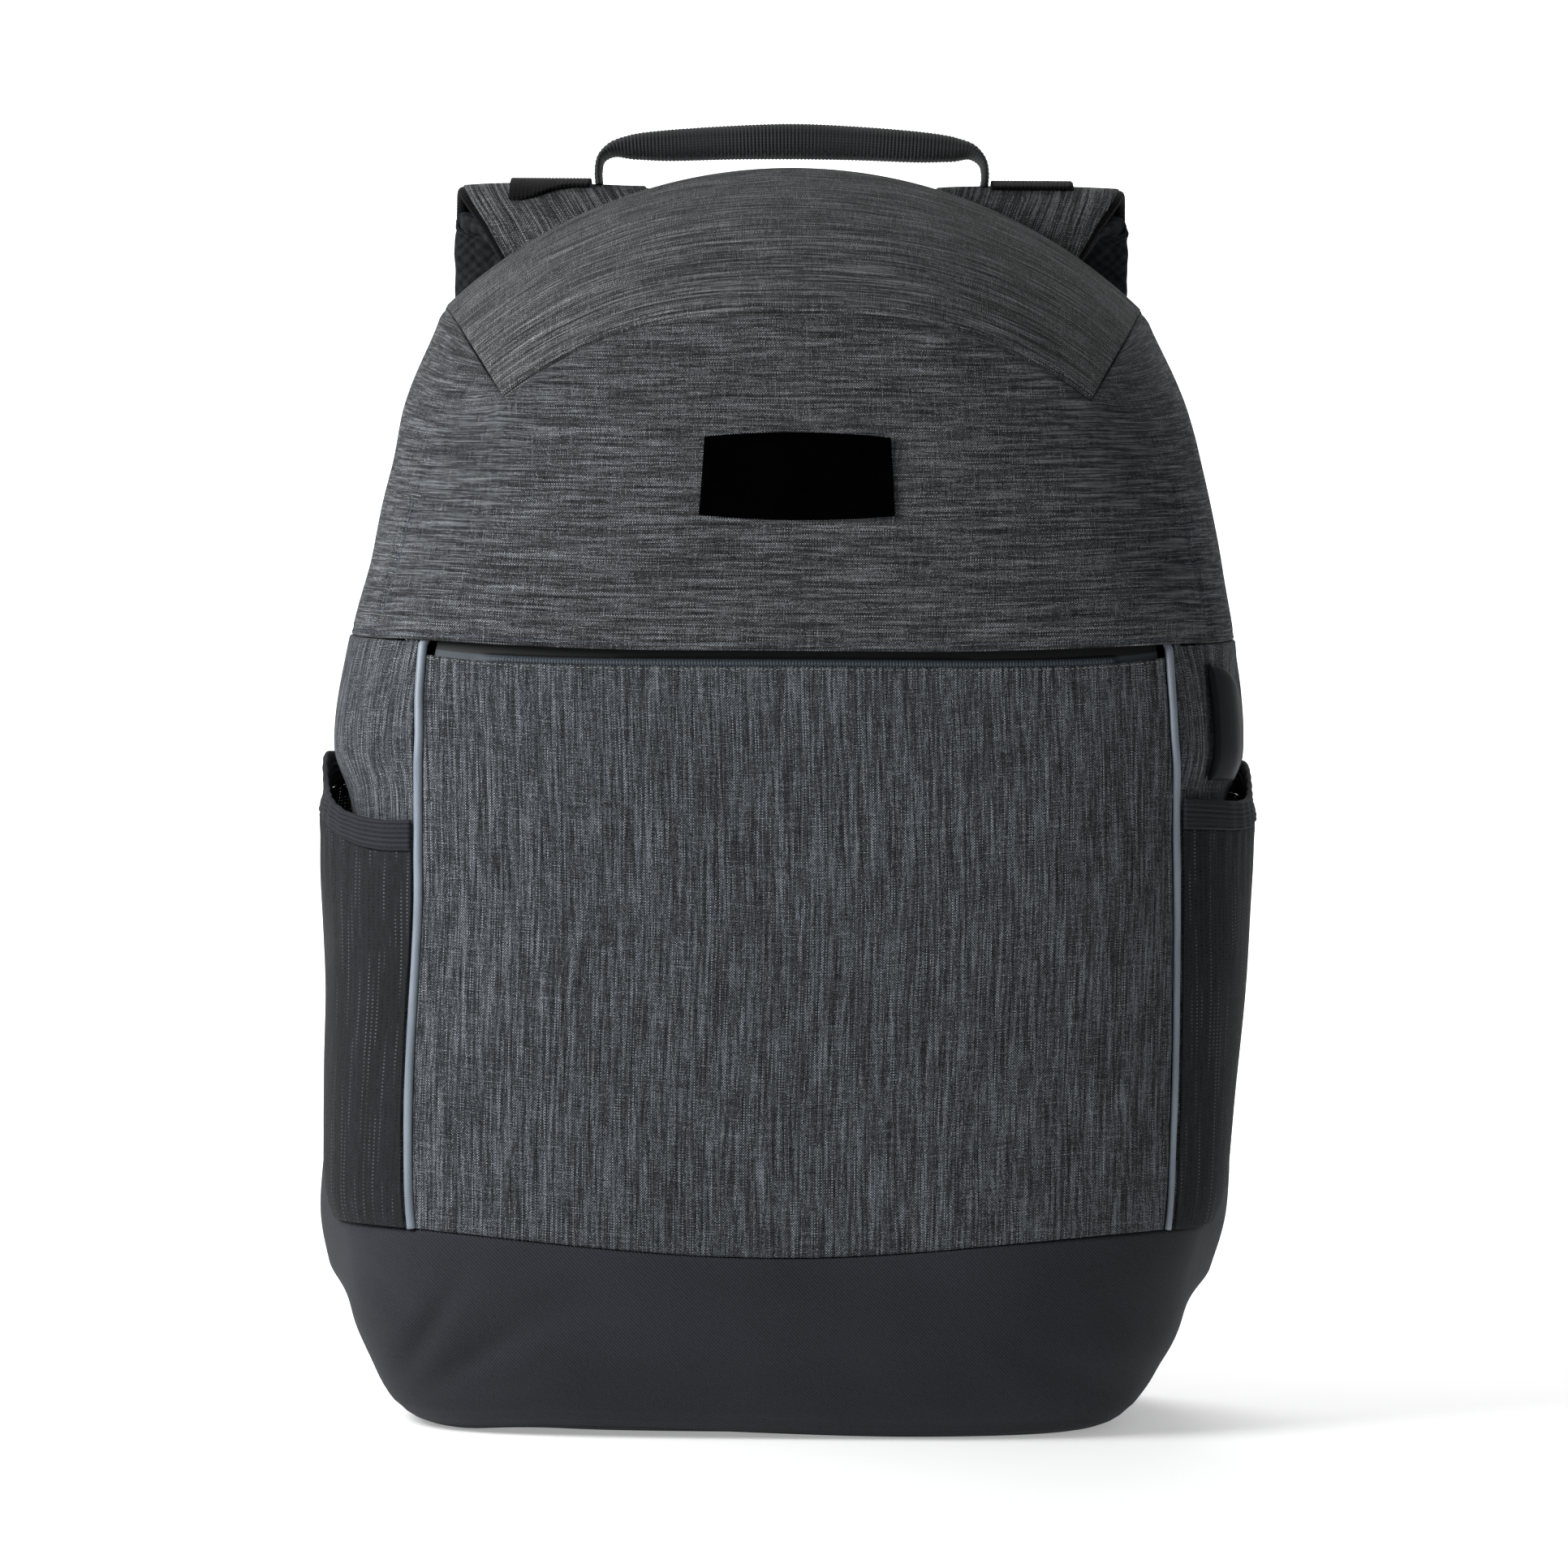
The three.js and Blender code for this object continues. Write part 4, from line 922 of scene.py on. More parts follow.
def gusset_point(u, t):
    u, t = np.broadcast_arrays(u, t)
    front = outline_point(u * ARCH_S, hood_top(u * ARCH_S))
    ends = np.abs(u) ** 3
    way = unit(mix(GUSSET_WAY, dart_way(np.sign(u)), ends[..., None]))
    bulge = mix(GUSSET_BULGE, DART_BULGE, ends) * 4 * t * (1 - t)
    return mix(front, rim_arch(u), t[..., None]) + way * bulge[..., None]


gusset_u = ((stations(300, 2.0) * 2 - 1) * GUSSET_END)[:, None]
gusset_t = mix(GUSSET_START, 1, stations(110, 1.8))[None]
gusset_points = gusset_point(gusset_u, gusset_t)
gusset_height = 0.7 * soft_waves(gusset_points[..., 0], gusset_points[..., 1], 8)
gusset_height = gusset_height * smoothstep(gusset_t, 0.03, 0.2) * (1 - smoothstep(gusset_t, 0.85, 1))
from_seam = run_lengths(gusset_points, 1)
gusset_height = gusset_height + groove(from_seam, 1.8, 0.8) + groove(from_seam - 4.5, 2.2, -0.45)
gusset, _ = cloth_piece("gusset", gusset_points, CLOTH, gusset_height)
# The gusset takes the lighter copy of the heather, with its painted light.
dress(gusset, HEATHER_ARCH_PAINTED_LIGHT, "heather", "top_gusset")

# %% [markdown]
# ## The front pocket and its slot
# The pocket is one flat panel between two reflective pipings. Its upper edge is folded and a zip runs
# behind it in the slot under the hood's hem. The zip shows as a fine cord with slanting ribs, so its ribs
# are modelled: a bump alone would not change the cord's outline in the slot.

# %% Front pocket panel
POCKET_TOP_Z, POCKET_TOP_CURL, POCKET_STITCH = 259, 4.6, 0.9
BASE_SEAM_Z, BASE_SEAM_RISE, BASE_EAR_RISE, BASE_SEAM_FLAT_S = 62, 8.5, 32, 0.56
PIPING_SEAM = 1.62
PIPING_COLUMNS = ("z", "left", "right")
PIPING_LINES = np.array([
    (62, 0.459, 0.517),
    (100, 0.474, 0.514),
    (140, 0.4785, 0.512),
    (180, 0.4735, 0.509),
    (200, 0.474, 0.5055),
    (216, 0.4715, 0.5),
    (232, 0.463, 0.4865),
    (250, 0.47, 0.485),
    (266, 0.477, 0.4875),
])


def pocket_top(s):
    return POCKET_TOP_Z + POCKET_TOP_CURL * (np.abs(s) / PIPING_S) ** 5


def base_seam(s):
    """The base's upper seam: low in front, with an ear that rises on each side."""
    front = BASE_SEAM_RISE * np.sin(np.minimum(np.abs(s) / BASE_SEAM_FLAT_S, 1) * math.pi / 2) ** 2
    return BASE_SEAM_Z + front + BASE_EAR_RISE * smoothstep(np.abs(s), 0.6, 0.84)


def piping_s(side, z):
    """Where a piping runs at a height, as a distance from the middle of the front."""
    column = PIPING_COLUMNS.index("left" if side < 0 else "right")
    return smooth_curve(PIPING_LINES[:, 0], PIPING_LINES[:, column], z)


def between_pipings(u, z, clear):
    """u from 0 at the left piping to 1 at the right one, a little clear of both."""
    left = -piping_s(-1, z) + share(clear, z)
    right = piping_s(1, z) - share(clear, z)
    return mix(left, right, u)


pocket_u = stations(250, 1.9)[:, None]
pocket_v = stations(194, 1.9)[None]
rough_s = (pocket_u * 2 - 1) * PIPING_S
rough_z = mix(base_seam(rough_s) + SEAM_CLEAR, pocket_top(rough_s), pocket_v)
pocket_s = between_pipings(pocket_u, rough_z, PIPING_SEAM)
pocket_z = mix(base_seam(pocket_s) + SEAM_CLEAR, pocket_top(pocket_s), pocket_v)
pocket_points = body_point(pocket_s, pocket_z)
pocket_across = pocket_s * outline_length(pocket_z)
from_top = pocket_top(pocket_s) - pocket_z
from_side = np.minimum(pocket_u, 1 - pocket_u) * (run_lengths(pocket_points, 0)[-1:])
pocket_height = 0.8 * soft_waves(pocket_across, pocket_z, 21, longest=140) * smoothstep(from_side, 2, 25)
pocket_height = pocket_height + groove(from_top - 6, 1.6, 0.25) + groove(from_side - 4, 1.4, 0.3)
pocket, pocket_outer = cloth_piece("front_pocket", pocket_points, CLOTH, pocket_height)
dress(pocket, HEATHER_UP, "heather", "front_pocket_panel")

# %% Pocket stitching
pocket_normals = grid_normals(pocket_outer)
top_row = np.argmin(np.abs(from_top[len(pocket_u) // 2] - POCKET_STITCH))
stitches(
    "pocket_stitching", [pocket_outer[:, top_row]], [pocket_normals[:, top_row]],
    long=1.1, gap=0.8, radius=0.14, finish=PALE_THREAD, slot="heather",
)

# %% Zip in the slot
ZIP_COLUMNS, ZIP_TALL, ZIP_THICK, ZIP_DEEP = 800, 18, 1.4, 2.8
ZIP_Z, ZIP_CLEAR, ZIP_BELOW, ZIP_ABOVE = 258.0, 2.4, 8, 5
COIL_UP, COIL_HALF, COIL_PROUD, RIB_PROUD = 0.9, 1.7, 1.7, 0.7
zip_u = np.linspace(0, 1, ZIP_COLUMNS)[:, None]
zip_v = stations(ZIP_TALL, 0.8, 0.8)[None]
zip_s = between_pipings(zip_u, np.full((1, 1), ZIP_Z), ZIP_CLEAR)
zip_z = mix(pocket_top(zip_s) - ZIP_BELOW, hem_z(zip_s) + ZIP_ABOVE, zip_v)
zip_points = body_point(zip_s, zip_z)
zip_up = zip_z - pocket_top(zip_s)
zip_along = zip_s * outline_length(zip_z)
coil = np.sqrt(np.maximum(1 - ((zip_up - COIL_UP) / COIL_HALF) ** 2, 0))
ribs = np.abs(np.sin((zip_along - zip_up * COIL_SLANT) * math.pi / COIL_PITCH)) ** 0.7
coil_ends = smoothstep(zip_s, -0.41, -0.36) * (1 - smoothstep(zip_s, 0.405, 0.42))
zip_height = -ZIP_DEEP + coil * (COIL_PROUD + RIB_PROUD * ribs) * coil_ends
# Above its coil the tape shows in the slot, where its near-black finish is painted shade.
pocket_zip, _ = cloth_piece("zip_cord", zip_points, ZIP_THICK, zip_height)
dress(pocket_zip, ZIP_TAPE_PAINTED_SHADE, "webbing", "pocket_zip")

# %% [markdown]
# ## Sides: panels, net pockets, elastic and piping
# Behind each net pocket lies a side panel of heather. The net is sewn down at its edges and gathered by a
# ribbed elastic at its mouth, so it bellies out and puckers a little below the elastic. The net could be
# simulated as cloth. As it is held all round, it is a swelled grid with seeded waves here. The piping is a
# cord in a reflective cover, set in the seam beside the front pocket.

# %% Shapes of the side pockets
MOUTH_LEFT = {"front": 207, "rise": 24, "start": 0.5, "end": 0.8}
MOUTH_RIGHT = {"front": 216, "rise": 14, "start": 0.58, "end": 0.85}
MESH_BELLY, MESH_FULL, PORT_RECESS = 11.5, 6, 1.7
ELASTIC_TALL, ELASTIC_THICK, MESH_CLOTH, GAP = 10.5, 2.2, 1.0, 0.3
MESH_REAR_S = PIPING_S + (1 - PIPING_S) * 0.9
NET_SEAM = PIPING_SEAM + 0.2
GATHER_LONG, GATHER_DRIFT = 7.5, 9


def mesh_top(s):
    mouth = MOUTH_LEFT if np.mean(s) < 0 else MOUTH_RIGHT
    return mouth["front"] + mouth["rise"] * smoothstep(np.abs(s), mouth["start"], mouth["end"])


def mesh_belly(s, z):
    """How far a net pocket stands off the side panel."""
    start = piping_s(np.sign(np.mean(s)), z) + 0.012
    across = np.sin(math.pi * np.clip((np.abs(s) - start) / (MESH_REAR_S - start), 0, 1))
    low = base_seam(s)
    up = np.clip((z - low) / (mesh_top(s) - low), 0, 1)
    gathered = 1 - 0.15 * smoothstep(up, 0.75, 1)
    drawn = 1 - 0.7 * smoothstep(z, 206, 230)
    return MESH_BELLY * np.maximum(across, 0) ** 0.8 * up ** 0.45 * gathered * drawn


def mesh_slack(s, z):
    """0 where the net is sewn down, 1 where it stands well off."""
    return np.clip(mesh_belly(s, z) / MESH_FULL, 0, 1)


def gathers(along):
    """Uneven puckers along the mouth of a net pocket."""
    return np.sin(along * 2 * math.pi / GATHER_LONG + 2 * np.sin(along / GATHER_DRIFT))


def side_grid(side, rear_s, clear, low, high, columns, rows):
    """A grid on one side of the bag from the piping to rear_s, with columns that run left to right."""
    u = (columns if side > 0 else 1 - columns)[:, None]
    s = side * mix(PIPING_S, rear_s, u)
    z = mix(low(s), high(s), rows[None])
    s = side * mix(piping_s(side, z) + share(clear, z), rear_s, u)
    return s, mix(low(s), high(s), rows[None])


def side_foot(s):
    return base_seam(s) + SEAM_CLEAR


def side_top(s):
    """The side panel ends at the hood's hem and goes on under it where the hem stands off."""
    return hem_z(s) - SEAM_CLEAR + 3.5 * (1 - smoothstep(np.abs(s), 0.492, 0.507))


def net_foot(s):
    return base_seam(s) + GAP


def net_top(s):
    return mesh_top(s) - ELASTIC_TALL - SEAM_CLEAR


def elastic_foot(s):
    return mesh_top(s) - ELASTIC_TALL


def port_recess(s, z):
    """The cover of the charging port sits in a shallow recess of the right side."""
    across = smoothstep(s, 0.525, 0.56) * (1 - smoothstep(s, 0.66, 0.72))
    return PORT_RECESS * across * smoothstep(z, 208, 222) * (1 - smoothstep(z, 258, 270))


print("rear edge of the net pockets as a share of the side:", round(MESH_REAR_S, 3))


# %% The pieces of one side
def side_cloth(side, word):
    """The side panel, with upright folds above the pocket's mouth."""
    s, z = side_grid(side, 1, PIPING_SEAM, side_foot, side_top, stations(160, 2.4), stations(195, 2.4))
    run = np.abs(s) * outline_length(z)
    folds = np.sin(run * 2 * math.pi / 19 + 0.02 * z + side) + 0.6 * np.sin(run * 2 * math.pi / 8.5 + 2)
    uneven = 0.7 * soft_waves(s * 300, z, 30 + side) * smoothstep(z, 210, 235)
    uneven = uneven + 0.4 * folds * smoothstep(z, 205, 225) * (1 - smoothstep(z, 250, 268) * 0.8)
    uneven = uneven - port_recess(s, z)
    panel, _ = cloth_piece(f"side_cloth_{word}", body_point(s, z), CLOTH, uneven)
    return dress(panel, HEATHER_UP, "heather", f"side_panel_{word}")


def net_pocket(side, word):
    """The net, which hangs from its elastic and sags in front of the side panel."""
    spots = stations(130, 2.0, 1.0)
    s, z = side_grid(side, MESH_REAR_S, NET_SEAM, net_foot, net_top, spots, spots)
    below = mesh_top(s) - ELASTIC_TALL - z
    along = np.abs(s) * outline_length(z)
    pucker = 0.5 * gathers(along) * np.exp(-below / 14)
    sag = 1.1 * soft_waves(along, z * 0.55, 44 + side, longest=60, shortest=22)
    height = 2 * GAP + MESH_CLOTH + mesh_belly(s, z) + (pucker + sag) * mesh_slack(s, z)
    net, net_outer = cloth_piece(f"net_pocket_{word}", body_point(s, z), MESH_CLOTH, height)
    dress(net, POCKET_NET, "mesh", f"mesh_pocket_{word}")


def pocket_elastic(side, word):
    """The ribbed elastic at the mouth of a net pocket."""
    columns, rows = stations(130, 1.3, 1.0), stations(ELASTIC_TALL, 0.28, 0.6)
    s, z = side_grid(side, MESH_REAR_S, NET_SEAM, elastic_foot, mesh_top, columns, rows)
    up = (z - (mesh_top(s) - ELASTIC_TALL)) / ELASTIC_TALL
    along = np.abs(s) * outline_length(z)
    bands = 0.28 * np.abs(np.sin(up * math.pi * 5)) ** 0.6 - 0.28
    pucker = 0.22 * gathers(along) * mesh_slack(s, z)
    height = 2 * GAP + ELASTIC_THICK + mesh_belly(s, z) + bands + pucker
    elastic, _ = cloth_piece(f"elastic_{word}", body_point(s, z), ELASTIC_THICK, height)
    dress(elastic, ELASTIC, "webbing", f"pocket_elastic_{word}")


# %% Both sides
for side, word in SIDES:
    panel = side_cloth(side, word)
    net_pocket(side, word)
    pocket_elastic(side, word)


# %% Round cords along a line
def tube(name, line, ring, lengths, girth, flip=False):
    """A closed tube from rings of points round a line; girth is its radius in the cloth's coordinates."""
    count, sides = ring.shape[:2]
    here = np.arange(sides) * count
    following = np.roll(here, -1)
    first, second = (here, following) if flip else (following, here)
    start = sides * count
    near = np.stack([np.full(sides, start), first, second], axis=-1)
    far = np.stack([np.full(sides, start + 1), second + count - 1, first + count - 1], axis=-1)
    walls = grid_faces(sides, count, flip=flip, wrap=True)
    turn = np.linspace(0, 2 * math.pi, sides, endpoint=False)
    flat = np.stack([np.repeat(turn * girth, count), np.tile(lengths, sides), np.zeros(start)], axis=-1)
    flat = np.concatenate([flat, [[0, 0, 0], [0, lengths[-1], 0]]])
    points = np.concatenate([ring.transpose(1, 0, 2).reshape(-1, 3), line[:1], line[-1:]])
    return new_object(name, points, walls.tolist() + near.tolist() + far.tolist(), flat)


def round_cord(name, line, radius, sides, ribs=0.0, rib_long=2.0):
    """A cord of one or many radii along a line, with ribs round it."""
    way = unit(np.gradient(line, axis=0))
    forward = np.array([0, -1.0, 0])
    out = unit(forward - way * (way @ forward)[:, None])
    beside = np.cross(way, out)
    lengths = line_lengths(line)
    turn = np.linspace(0, 2 * math.pi, sides, endpoint=False)
    size = np.broadcast_to(radius, lengths.shape)[:, None]
    size = size + ribs * np.sin(lengths * 2 * math.pi / rib_long)[:, None]
    ring = line[:, None] + out[:, None] * (np.cos(turn) * size)[..., None]
    ring = ring + beside[:, None] * (np.sin(turn) * size)[..., None]
    return tube(name, line, ring, lengths, np.mean(radius))


# %% Piping
PIPING_RADIUS, PIPING_TAPER = {-1: 1.56, 1: 1.38}, {-1: 0.0, 1: 0.22}
PIPING_SIDES, PIPING_RINGS, PIPING_SINK = 16, 140, 0.2
PIPING_FOOT, PIPING_HEAD, BESIDE_S = 0.15, 1.6, 0.004
for side, word in SIDES:
    foot = base_seam(piping_s(side, np.array([BASE_SEAM_Z]))[0]) + PIPING_FOOT
    head = hem_z(piping_s(side, HEM_Z)) + PIPING_HEAD
    z = np.linspace(foot, head, PIPING_RINGS)
    s = side * piping_s(side, z)
    beside = body_point(np.stack([s - BESIDE_S, s, s + BESIDE_S]), np.stack([z, z, z]))
    normal = grid_normals(beside)[1]
    tuck = 1.1 * smoothstep(z, head - 2.6, head - 0.6) + 0.12 * np.sin(z / 11)
    line = beside[1] - normal * (PIPING_SINK + tuck)[:, None]
    radius = PIPING_RADIUS[side] - PIPING_TAPER[side] * (1 - smoothstep(z, 80, 240))
    piping = round_cord(f"reflective_piping_{word}", line, radius, PIPING_SIDES)
    dress(piping, REFLECTIVE, "reflective", f"piping_{word}")

# %% [markdown]
# ## The base
# The base is a boot of dark twill: walls that are sewn to the panels above, and a bottom that the bag
# stands on. It has no stiffener in front, so it shows soft dents, deeper near the left corner, and part
# of its front edge lifts a little off the floor. Each dent is one short crease, placed one by one.

# %% Base wall
BASE_CLOTH, BASE_BOTTOM, BASE_EAR_BULGE, FLOOR_LIFT = 3, 4, 6, 2.6
DENT_COLUMNS = ("x", "z", "wide", "tall", "slant", "deep")
DENTS = (
    (-121, 34, 17, 4.5, 1.0, 2.6),
    (-106, 25, 20, 5, 0.55, 2.0),
    (-132, 46, 10, 4, -0.6, 1.4),
    (-88, 40, 26, 8, 0.2, 1.0),
    (96, 22, 24, 6, -0.5, 1.4),
    (118, 36, 16, 5, -1.0, 1.2),
    (10, 18, 60, 7, 0.05, 0.9),
)


def base_offset(s, z):
    """The ears of the base stand out a little and lie flat again where they are sewn to the rim."""
    stuffed, sewn = smoothstep(np.abs(s), 0.6, 0.76), smoothstep(np.abs(s), 0.88, 1)
    return BASE_EAR_BULGE * stuffed * (1 - sewn) * smoothstep(z, 38, 54)


def dent_height(x, z, dent):
    """A soft crease around a point, drawn out along a slanted line."""
    across, up = x - dent["x"], z - dent["z"]
    slope_cos, slope_sin = math.cos(dent["slant"]), math.sin(dent["slant"])
    along = across * slope_cos + up * slope_sin
    over = up * slope_cos - across * slope_sin
    return -dent["deep"] * np.exp(-(along / dent["wide"]) ** 2 - (over / dent["tall"]) ** 2)


def floor_lift(s, x):
    """Left of the middle the soft front edge doesn't touch the floor."""
    front = 1 - smoothstep(np.abs(s), 0.4, 0.55)
    return FLOOR_LIFT * front * smoothstep(x, -122, -75) * (1 - smoothstep(x, -70, 50))


base_s = rim_to_rim(PIPING_S, 66, 66)
base_v = stations(68, 1.7)[None]
base_z = mix(0.0, base_seam(base_s) - SEAM_CLEAR, base_v)
base_points = body_point(base_s, base_z)
base_x = base_points[..., 0]
base_across = base_s * outline_length(base_z)
base_points[..., 2] += floor_lift(base_s, base_x) * (1 - smoothstep(base_z, 0, 46))
free = smoothstep(base_z, 3, 16)
base_height = base_offset(base_s, base_z)
base_height = base_height + 1.1 * free * soft_waves(base_across, base_z, 52, longest=120)
for row in DENTS:
    base_height = base_height + free * dent_height(base_x, base_z, dict(zip(DENT_COLUMNS, row)))
base_height = base_height + groove(base_z - 5.5, 1.2, 0.3)
base_wall, _ = cloth_piece("base_wall", base_points, BASE_CLOTH, base_height)
dress(base_wall, TWILL, "twill", "base_boot")

# %% Base bottom
BOTTOM_RINGS = ((1.0, 1.2), (0.996, 0.4), (0.99, 0.0), (0.93, 0.0), (0.8, 0.0), (0.5, 0.0), (0.2, 0.0))
BOTTOM_HEART_Y, REAR_INSET, REAR_CLEAR = 10.0, 4, 0.3
floor_line = body_point(base_s[:, 0], np.zeros(len(base_s)))
rear_y = BACK_FACE_Y - REAR_CLEAR
rear_right = [floor_line[-1, 0] - REAR_INSET, rear_y, 0]
rear_left = [floor_line[0, 0] + REAR_INSET, rear_y, 0]
edge_line = np.concatenate([floor_line, even_line(np.array([rear_right, rear_left]), 6.0)])
heart = np.array([edge_line[:, 0].mean(), BOTTOM_HEART_Y, 0])
edge_lift = np.zeros_like(edge_line)
edge_lift[:len(floor_line), 2] = floor_lift(base_s[:, 0], floor_line[:, 0])
under, over = [], []
for size, up in BOTTOM_RINGS:
    spot = heart + (edge_line - heart) * size + edge_lift * smoothstep(size, 0.8, 0.99)
    under.append(spot + [0, 0, up])
    over.insert(0, spot + [0, 0, BASE_BOTTOM])
under, over = np.stack(under, axis=1), np.stack(over, axis=1)
bottom_grid = np.concatenate([under[:, ::-1], over[:, ::-1]], axis=1)
bottom_faces = grid_faces(len(edge_line), bottom_grid.shape[1], wrap=True)
bottom_flat = bottom_grid * [1, 1, 0]
bottom = new_object("base_bottom", bottom_grid.reshape(-1, 3), bottom_faces, bottom_flat.reshape(-1, 3))
dress(bottom, TWILL, "twill")

# %% [markdown]
# ## Back panel and binding
# The back isn't in the photograph. Such bags have a padded back of air mesh inside a bound edge, so it is
# finished plainly: a foam pad with a few sewn channels. The binding is a ribbed tape round the whole rim.

# %% Rear rim
RIM_FOOT_Z, RIM_STEPS, ARCH_STEPS = 6, 150, 161
BINDING_INSET, BINDING_BACK, BINDING_RADIUS, TAPE_STEP = 2.2, 2.4, 2.0, 0.75


def rim_line(inset):
    """The rear rim from the left foot over the arch to the right foot, moved inwards."""
    z = np.linspace(RIM_FOOT_Z, DART_REAR_Z, RIM_STEPS, endpoint=False)
    left = outline_point(np.full(RIM_STEPS, -1.0), z)
    right = outline_point(np.full(RIM_STEPS, 1.0), z)
    line = np.concatenate([left, rim_arch(np.linspace(-1, 1, ARCH_STEPS)), right[::-1]])
    way = unit(np.gradient(line, axis=0))
    return line + np.stack([way[:, 2], np.zeros(len(line)), -way[:, 0]], axis=-1) * inset


binding_line = rim_line(BINDING_INSET)
binding_line[:, 1] = RIM_Y + BINDING_BACK
binding = round_cord("edge_binding", even_line(binding_line, TAPE_STEP), BINDING_RADIUS, 12, 0.08, 1.5)
dress(binding, BLACK_WEBBING, "webbing", "rear_binding")

# %% Padded back
BACK_THICK, BACK_ROLL, BACK_INSET = 6, 3.0, 4.5
PAD_CHANNELS_X, PAD_CHANNELS_Z, PAD_CHANNEL_REACH = (-52, 52), (110, 230, 340), 120
SHOULDER_BELOW = DART_REAR_Z - 5.0
back_rim = rim_line(BACK_INSET)
left_rim, right_rim = back_rim[:RIM_STEPS], back_rim[-RIM_STEPS:][::-1]
arch = back_rim[RIM_STEPS:-RIM_STEPS]
back_u = (stations(290, 3.6, 3.0) * 2 - 1)[:, None]
back_v = stations(425, 3.8, 3.0)[None]
back_foot = RIM_FOOT_Z + 1.0


def back_sides(z):
    """The x of the pad's left and right edges at a height."""
    low = np.interp(z, left_rim[:, 2], left_rim[:, 0])
    high = np.interp(z, right_rim[:, 2], right_rim[:, 0])
    return low, high


shoulder_low, shoulder_high = back_sides(np.array(SHOULDER_BELOW))
back_x_top = mix(shoulder_low, shoulder_high, (back_u + 1) / 2)
back_top = np.interp(back_x_top, arch[:, 0], arch[:, 2])
back_z = mix(back_foot, back_top, back_v)
side_low, side_high = back_sides(np.minimum(back_z, SHOULDER_BELOW))
back_x = mix(side_low, side_high, (back_u + 1) / 2)
back_points = np.stack([back_x, np.full_like(back_x, BACK_FACE_Y), back_z], axis=-1)[::-1]
pad_x, pad_z = back_points[..., 0], back_points[..., 2]
edge_gap = np.minimum(np.abs(pad_x - side_low[::-1]), np.abs(side_high[::-1] - pad_x))
edge_gap = np.minimum(edge_gap, np.minimum(pad_z - back_foot, back_top[::-1] - pad_z))
within = np.abs(pad_x) < PAD_CHANNEL_REACH
quilt = sum(groove(pad_x - x, 4.0, 2.4) for x in PAD_CHANNELS_X)
quilt = quilt + sum(groove(pad_z - z, 4.0, 2.0) * within for z in PAD_CHANNELS_Z)
back_height = quilt - 2.6 * (1 - smoothstep(edge_gap, 0, 14)) + 0.35 * soft_waves(pad_x, pad_z, 71)
back, _ = cloth_piece("back_pad", back_points, BACK_THICK, back_height, roll=BACK_ROLL)
dress(back, AIR_MESH, "mesh", "back_panel")

# %% [markdown]
# ## Straps, handle and webbing
# Each strap is a padded band that leaves the back panel, turns over its crest and runs down the back. Its
# face is heather and its inner side air mesh, with a bound edge between them. The bands follow the same
# lines as the solids, so a helper repeats that kind of curve.


# %% Curves through a line of points
def through(points, t):
    """A smooth curve through points, with even parts between them, read at many places from 0 to 1."""
    points = np.asarray(points, float)
    last = len(points) - 1
    longer = np.concatenate([[2 * points[0] - points[1]], points, [2 * points[-1] - points[-2]]])
    place = np.clip(np.asarray(t, float), 0, 1) * last
    i = np.minimum(place.astype(int), last - 1)
    w = (place - i)[..., None]
    p0, p1, p2, p3 = (longer[i + k] for k in range(4))
    pairs = ((p0, p1), (p1, p2), (p2, p3))
    d0, d1, d2 = (np.linalg.norm(b - a, axis=-1, keepdims=True) ** 0.5 for a, b in pairs)
    m1 = ((p1 - p0) / d0 - (p2 - p0) / (d0 + d1) + (p2 - p1) / d1) * d1
    m2 = ((p2 - p1) / d1 - (p3 - p1) / (d1 + d2) + (p3 - p2) / d2) * d1
    rise = 3 * w ** 2 - 2 * w ** 3
    return p1 + (p2 - p1) * rise + m1 * w * (1 - w) ** 2 + m2 * w ** 2 * (w - 1)


def band_grid(rows, t, across, half=None):
    """Points of a flat band along a line, and the direction out of its outer face."""
    rows = np.asarray(rows, float)
    line = through(rows[:, :3], t)
    way = unit(through(rows[:, :3], t + 1e-4) - through(rows[:, :3], t - 1e-4))
    out = unit(np.stack([np.zeros_like(t), -way[:, 2], way[:, 1]], axis=-1))
    if half is None:
        half = smooth_curve(np.arange(len(rows), dtype=float), rows[:, 3], t * (len(rows) - 1))
    points = line[:, None] + np.zeros((1, len(across), 1))
    points[..., 0] += np.asarray(half).reshape(-1, 1) * across[None]
    return points, np.broadcast_to(out[:, None], points.shape)


def mirror_if(points, side):
    """The left piece is the right one mirrored; its columns turn round so that its face stays outside."""
    if side > 0:
        return points
    return (points * [-1, 1, 1])[:, ::-1]


# %% The line of a shoulder strap: x, y, z and half its width
STRAP_LINE = (
    (62, 81.8, 385, 29),
    (70.5, 82, 404, 30),
    (79, 83.5, 421, 32),
    (85, 89, 430.3, 33.5),
    (87, 97, 433.4, 34),
    (88, 105, 429.4, 34),
    (88.5, 109.5, 418, 34),
    (88.5, 111.5, 395, 33.5),
    (88, 113.5, 355, 33),
    (87, 114, 300, 32),
    (85, 111, 235, 29.5),
    (82.5, 106, 180, 27),
    (81, 101.6, 146, 23),
)
print("points on a strap's line:", len(STRAP_LINE))

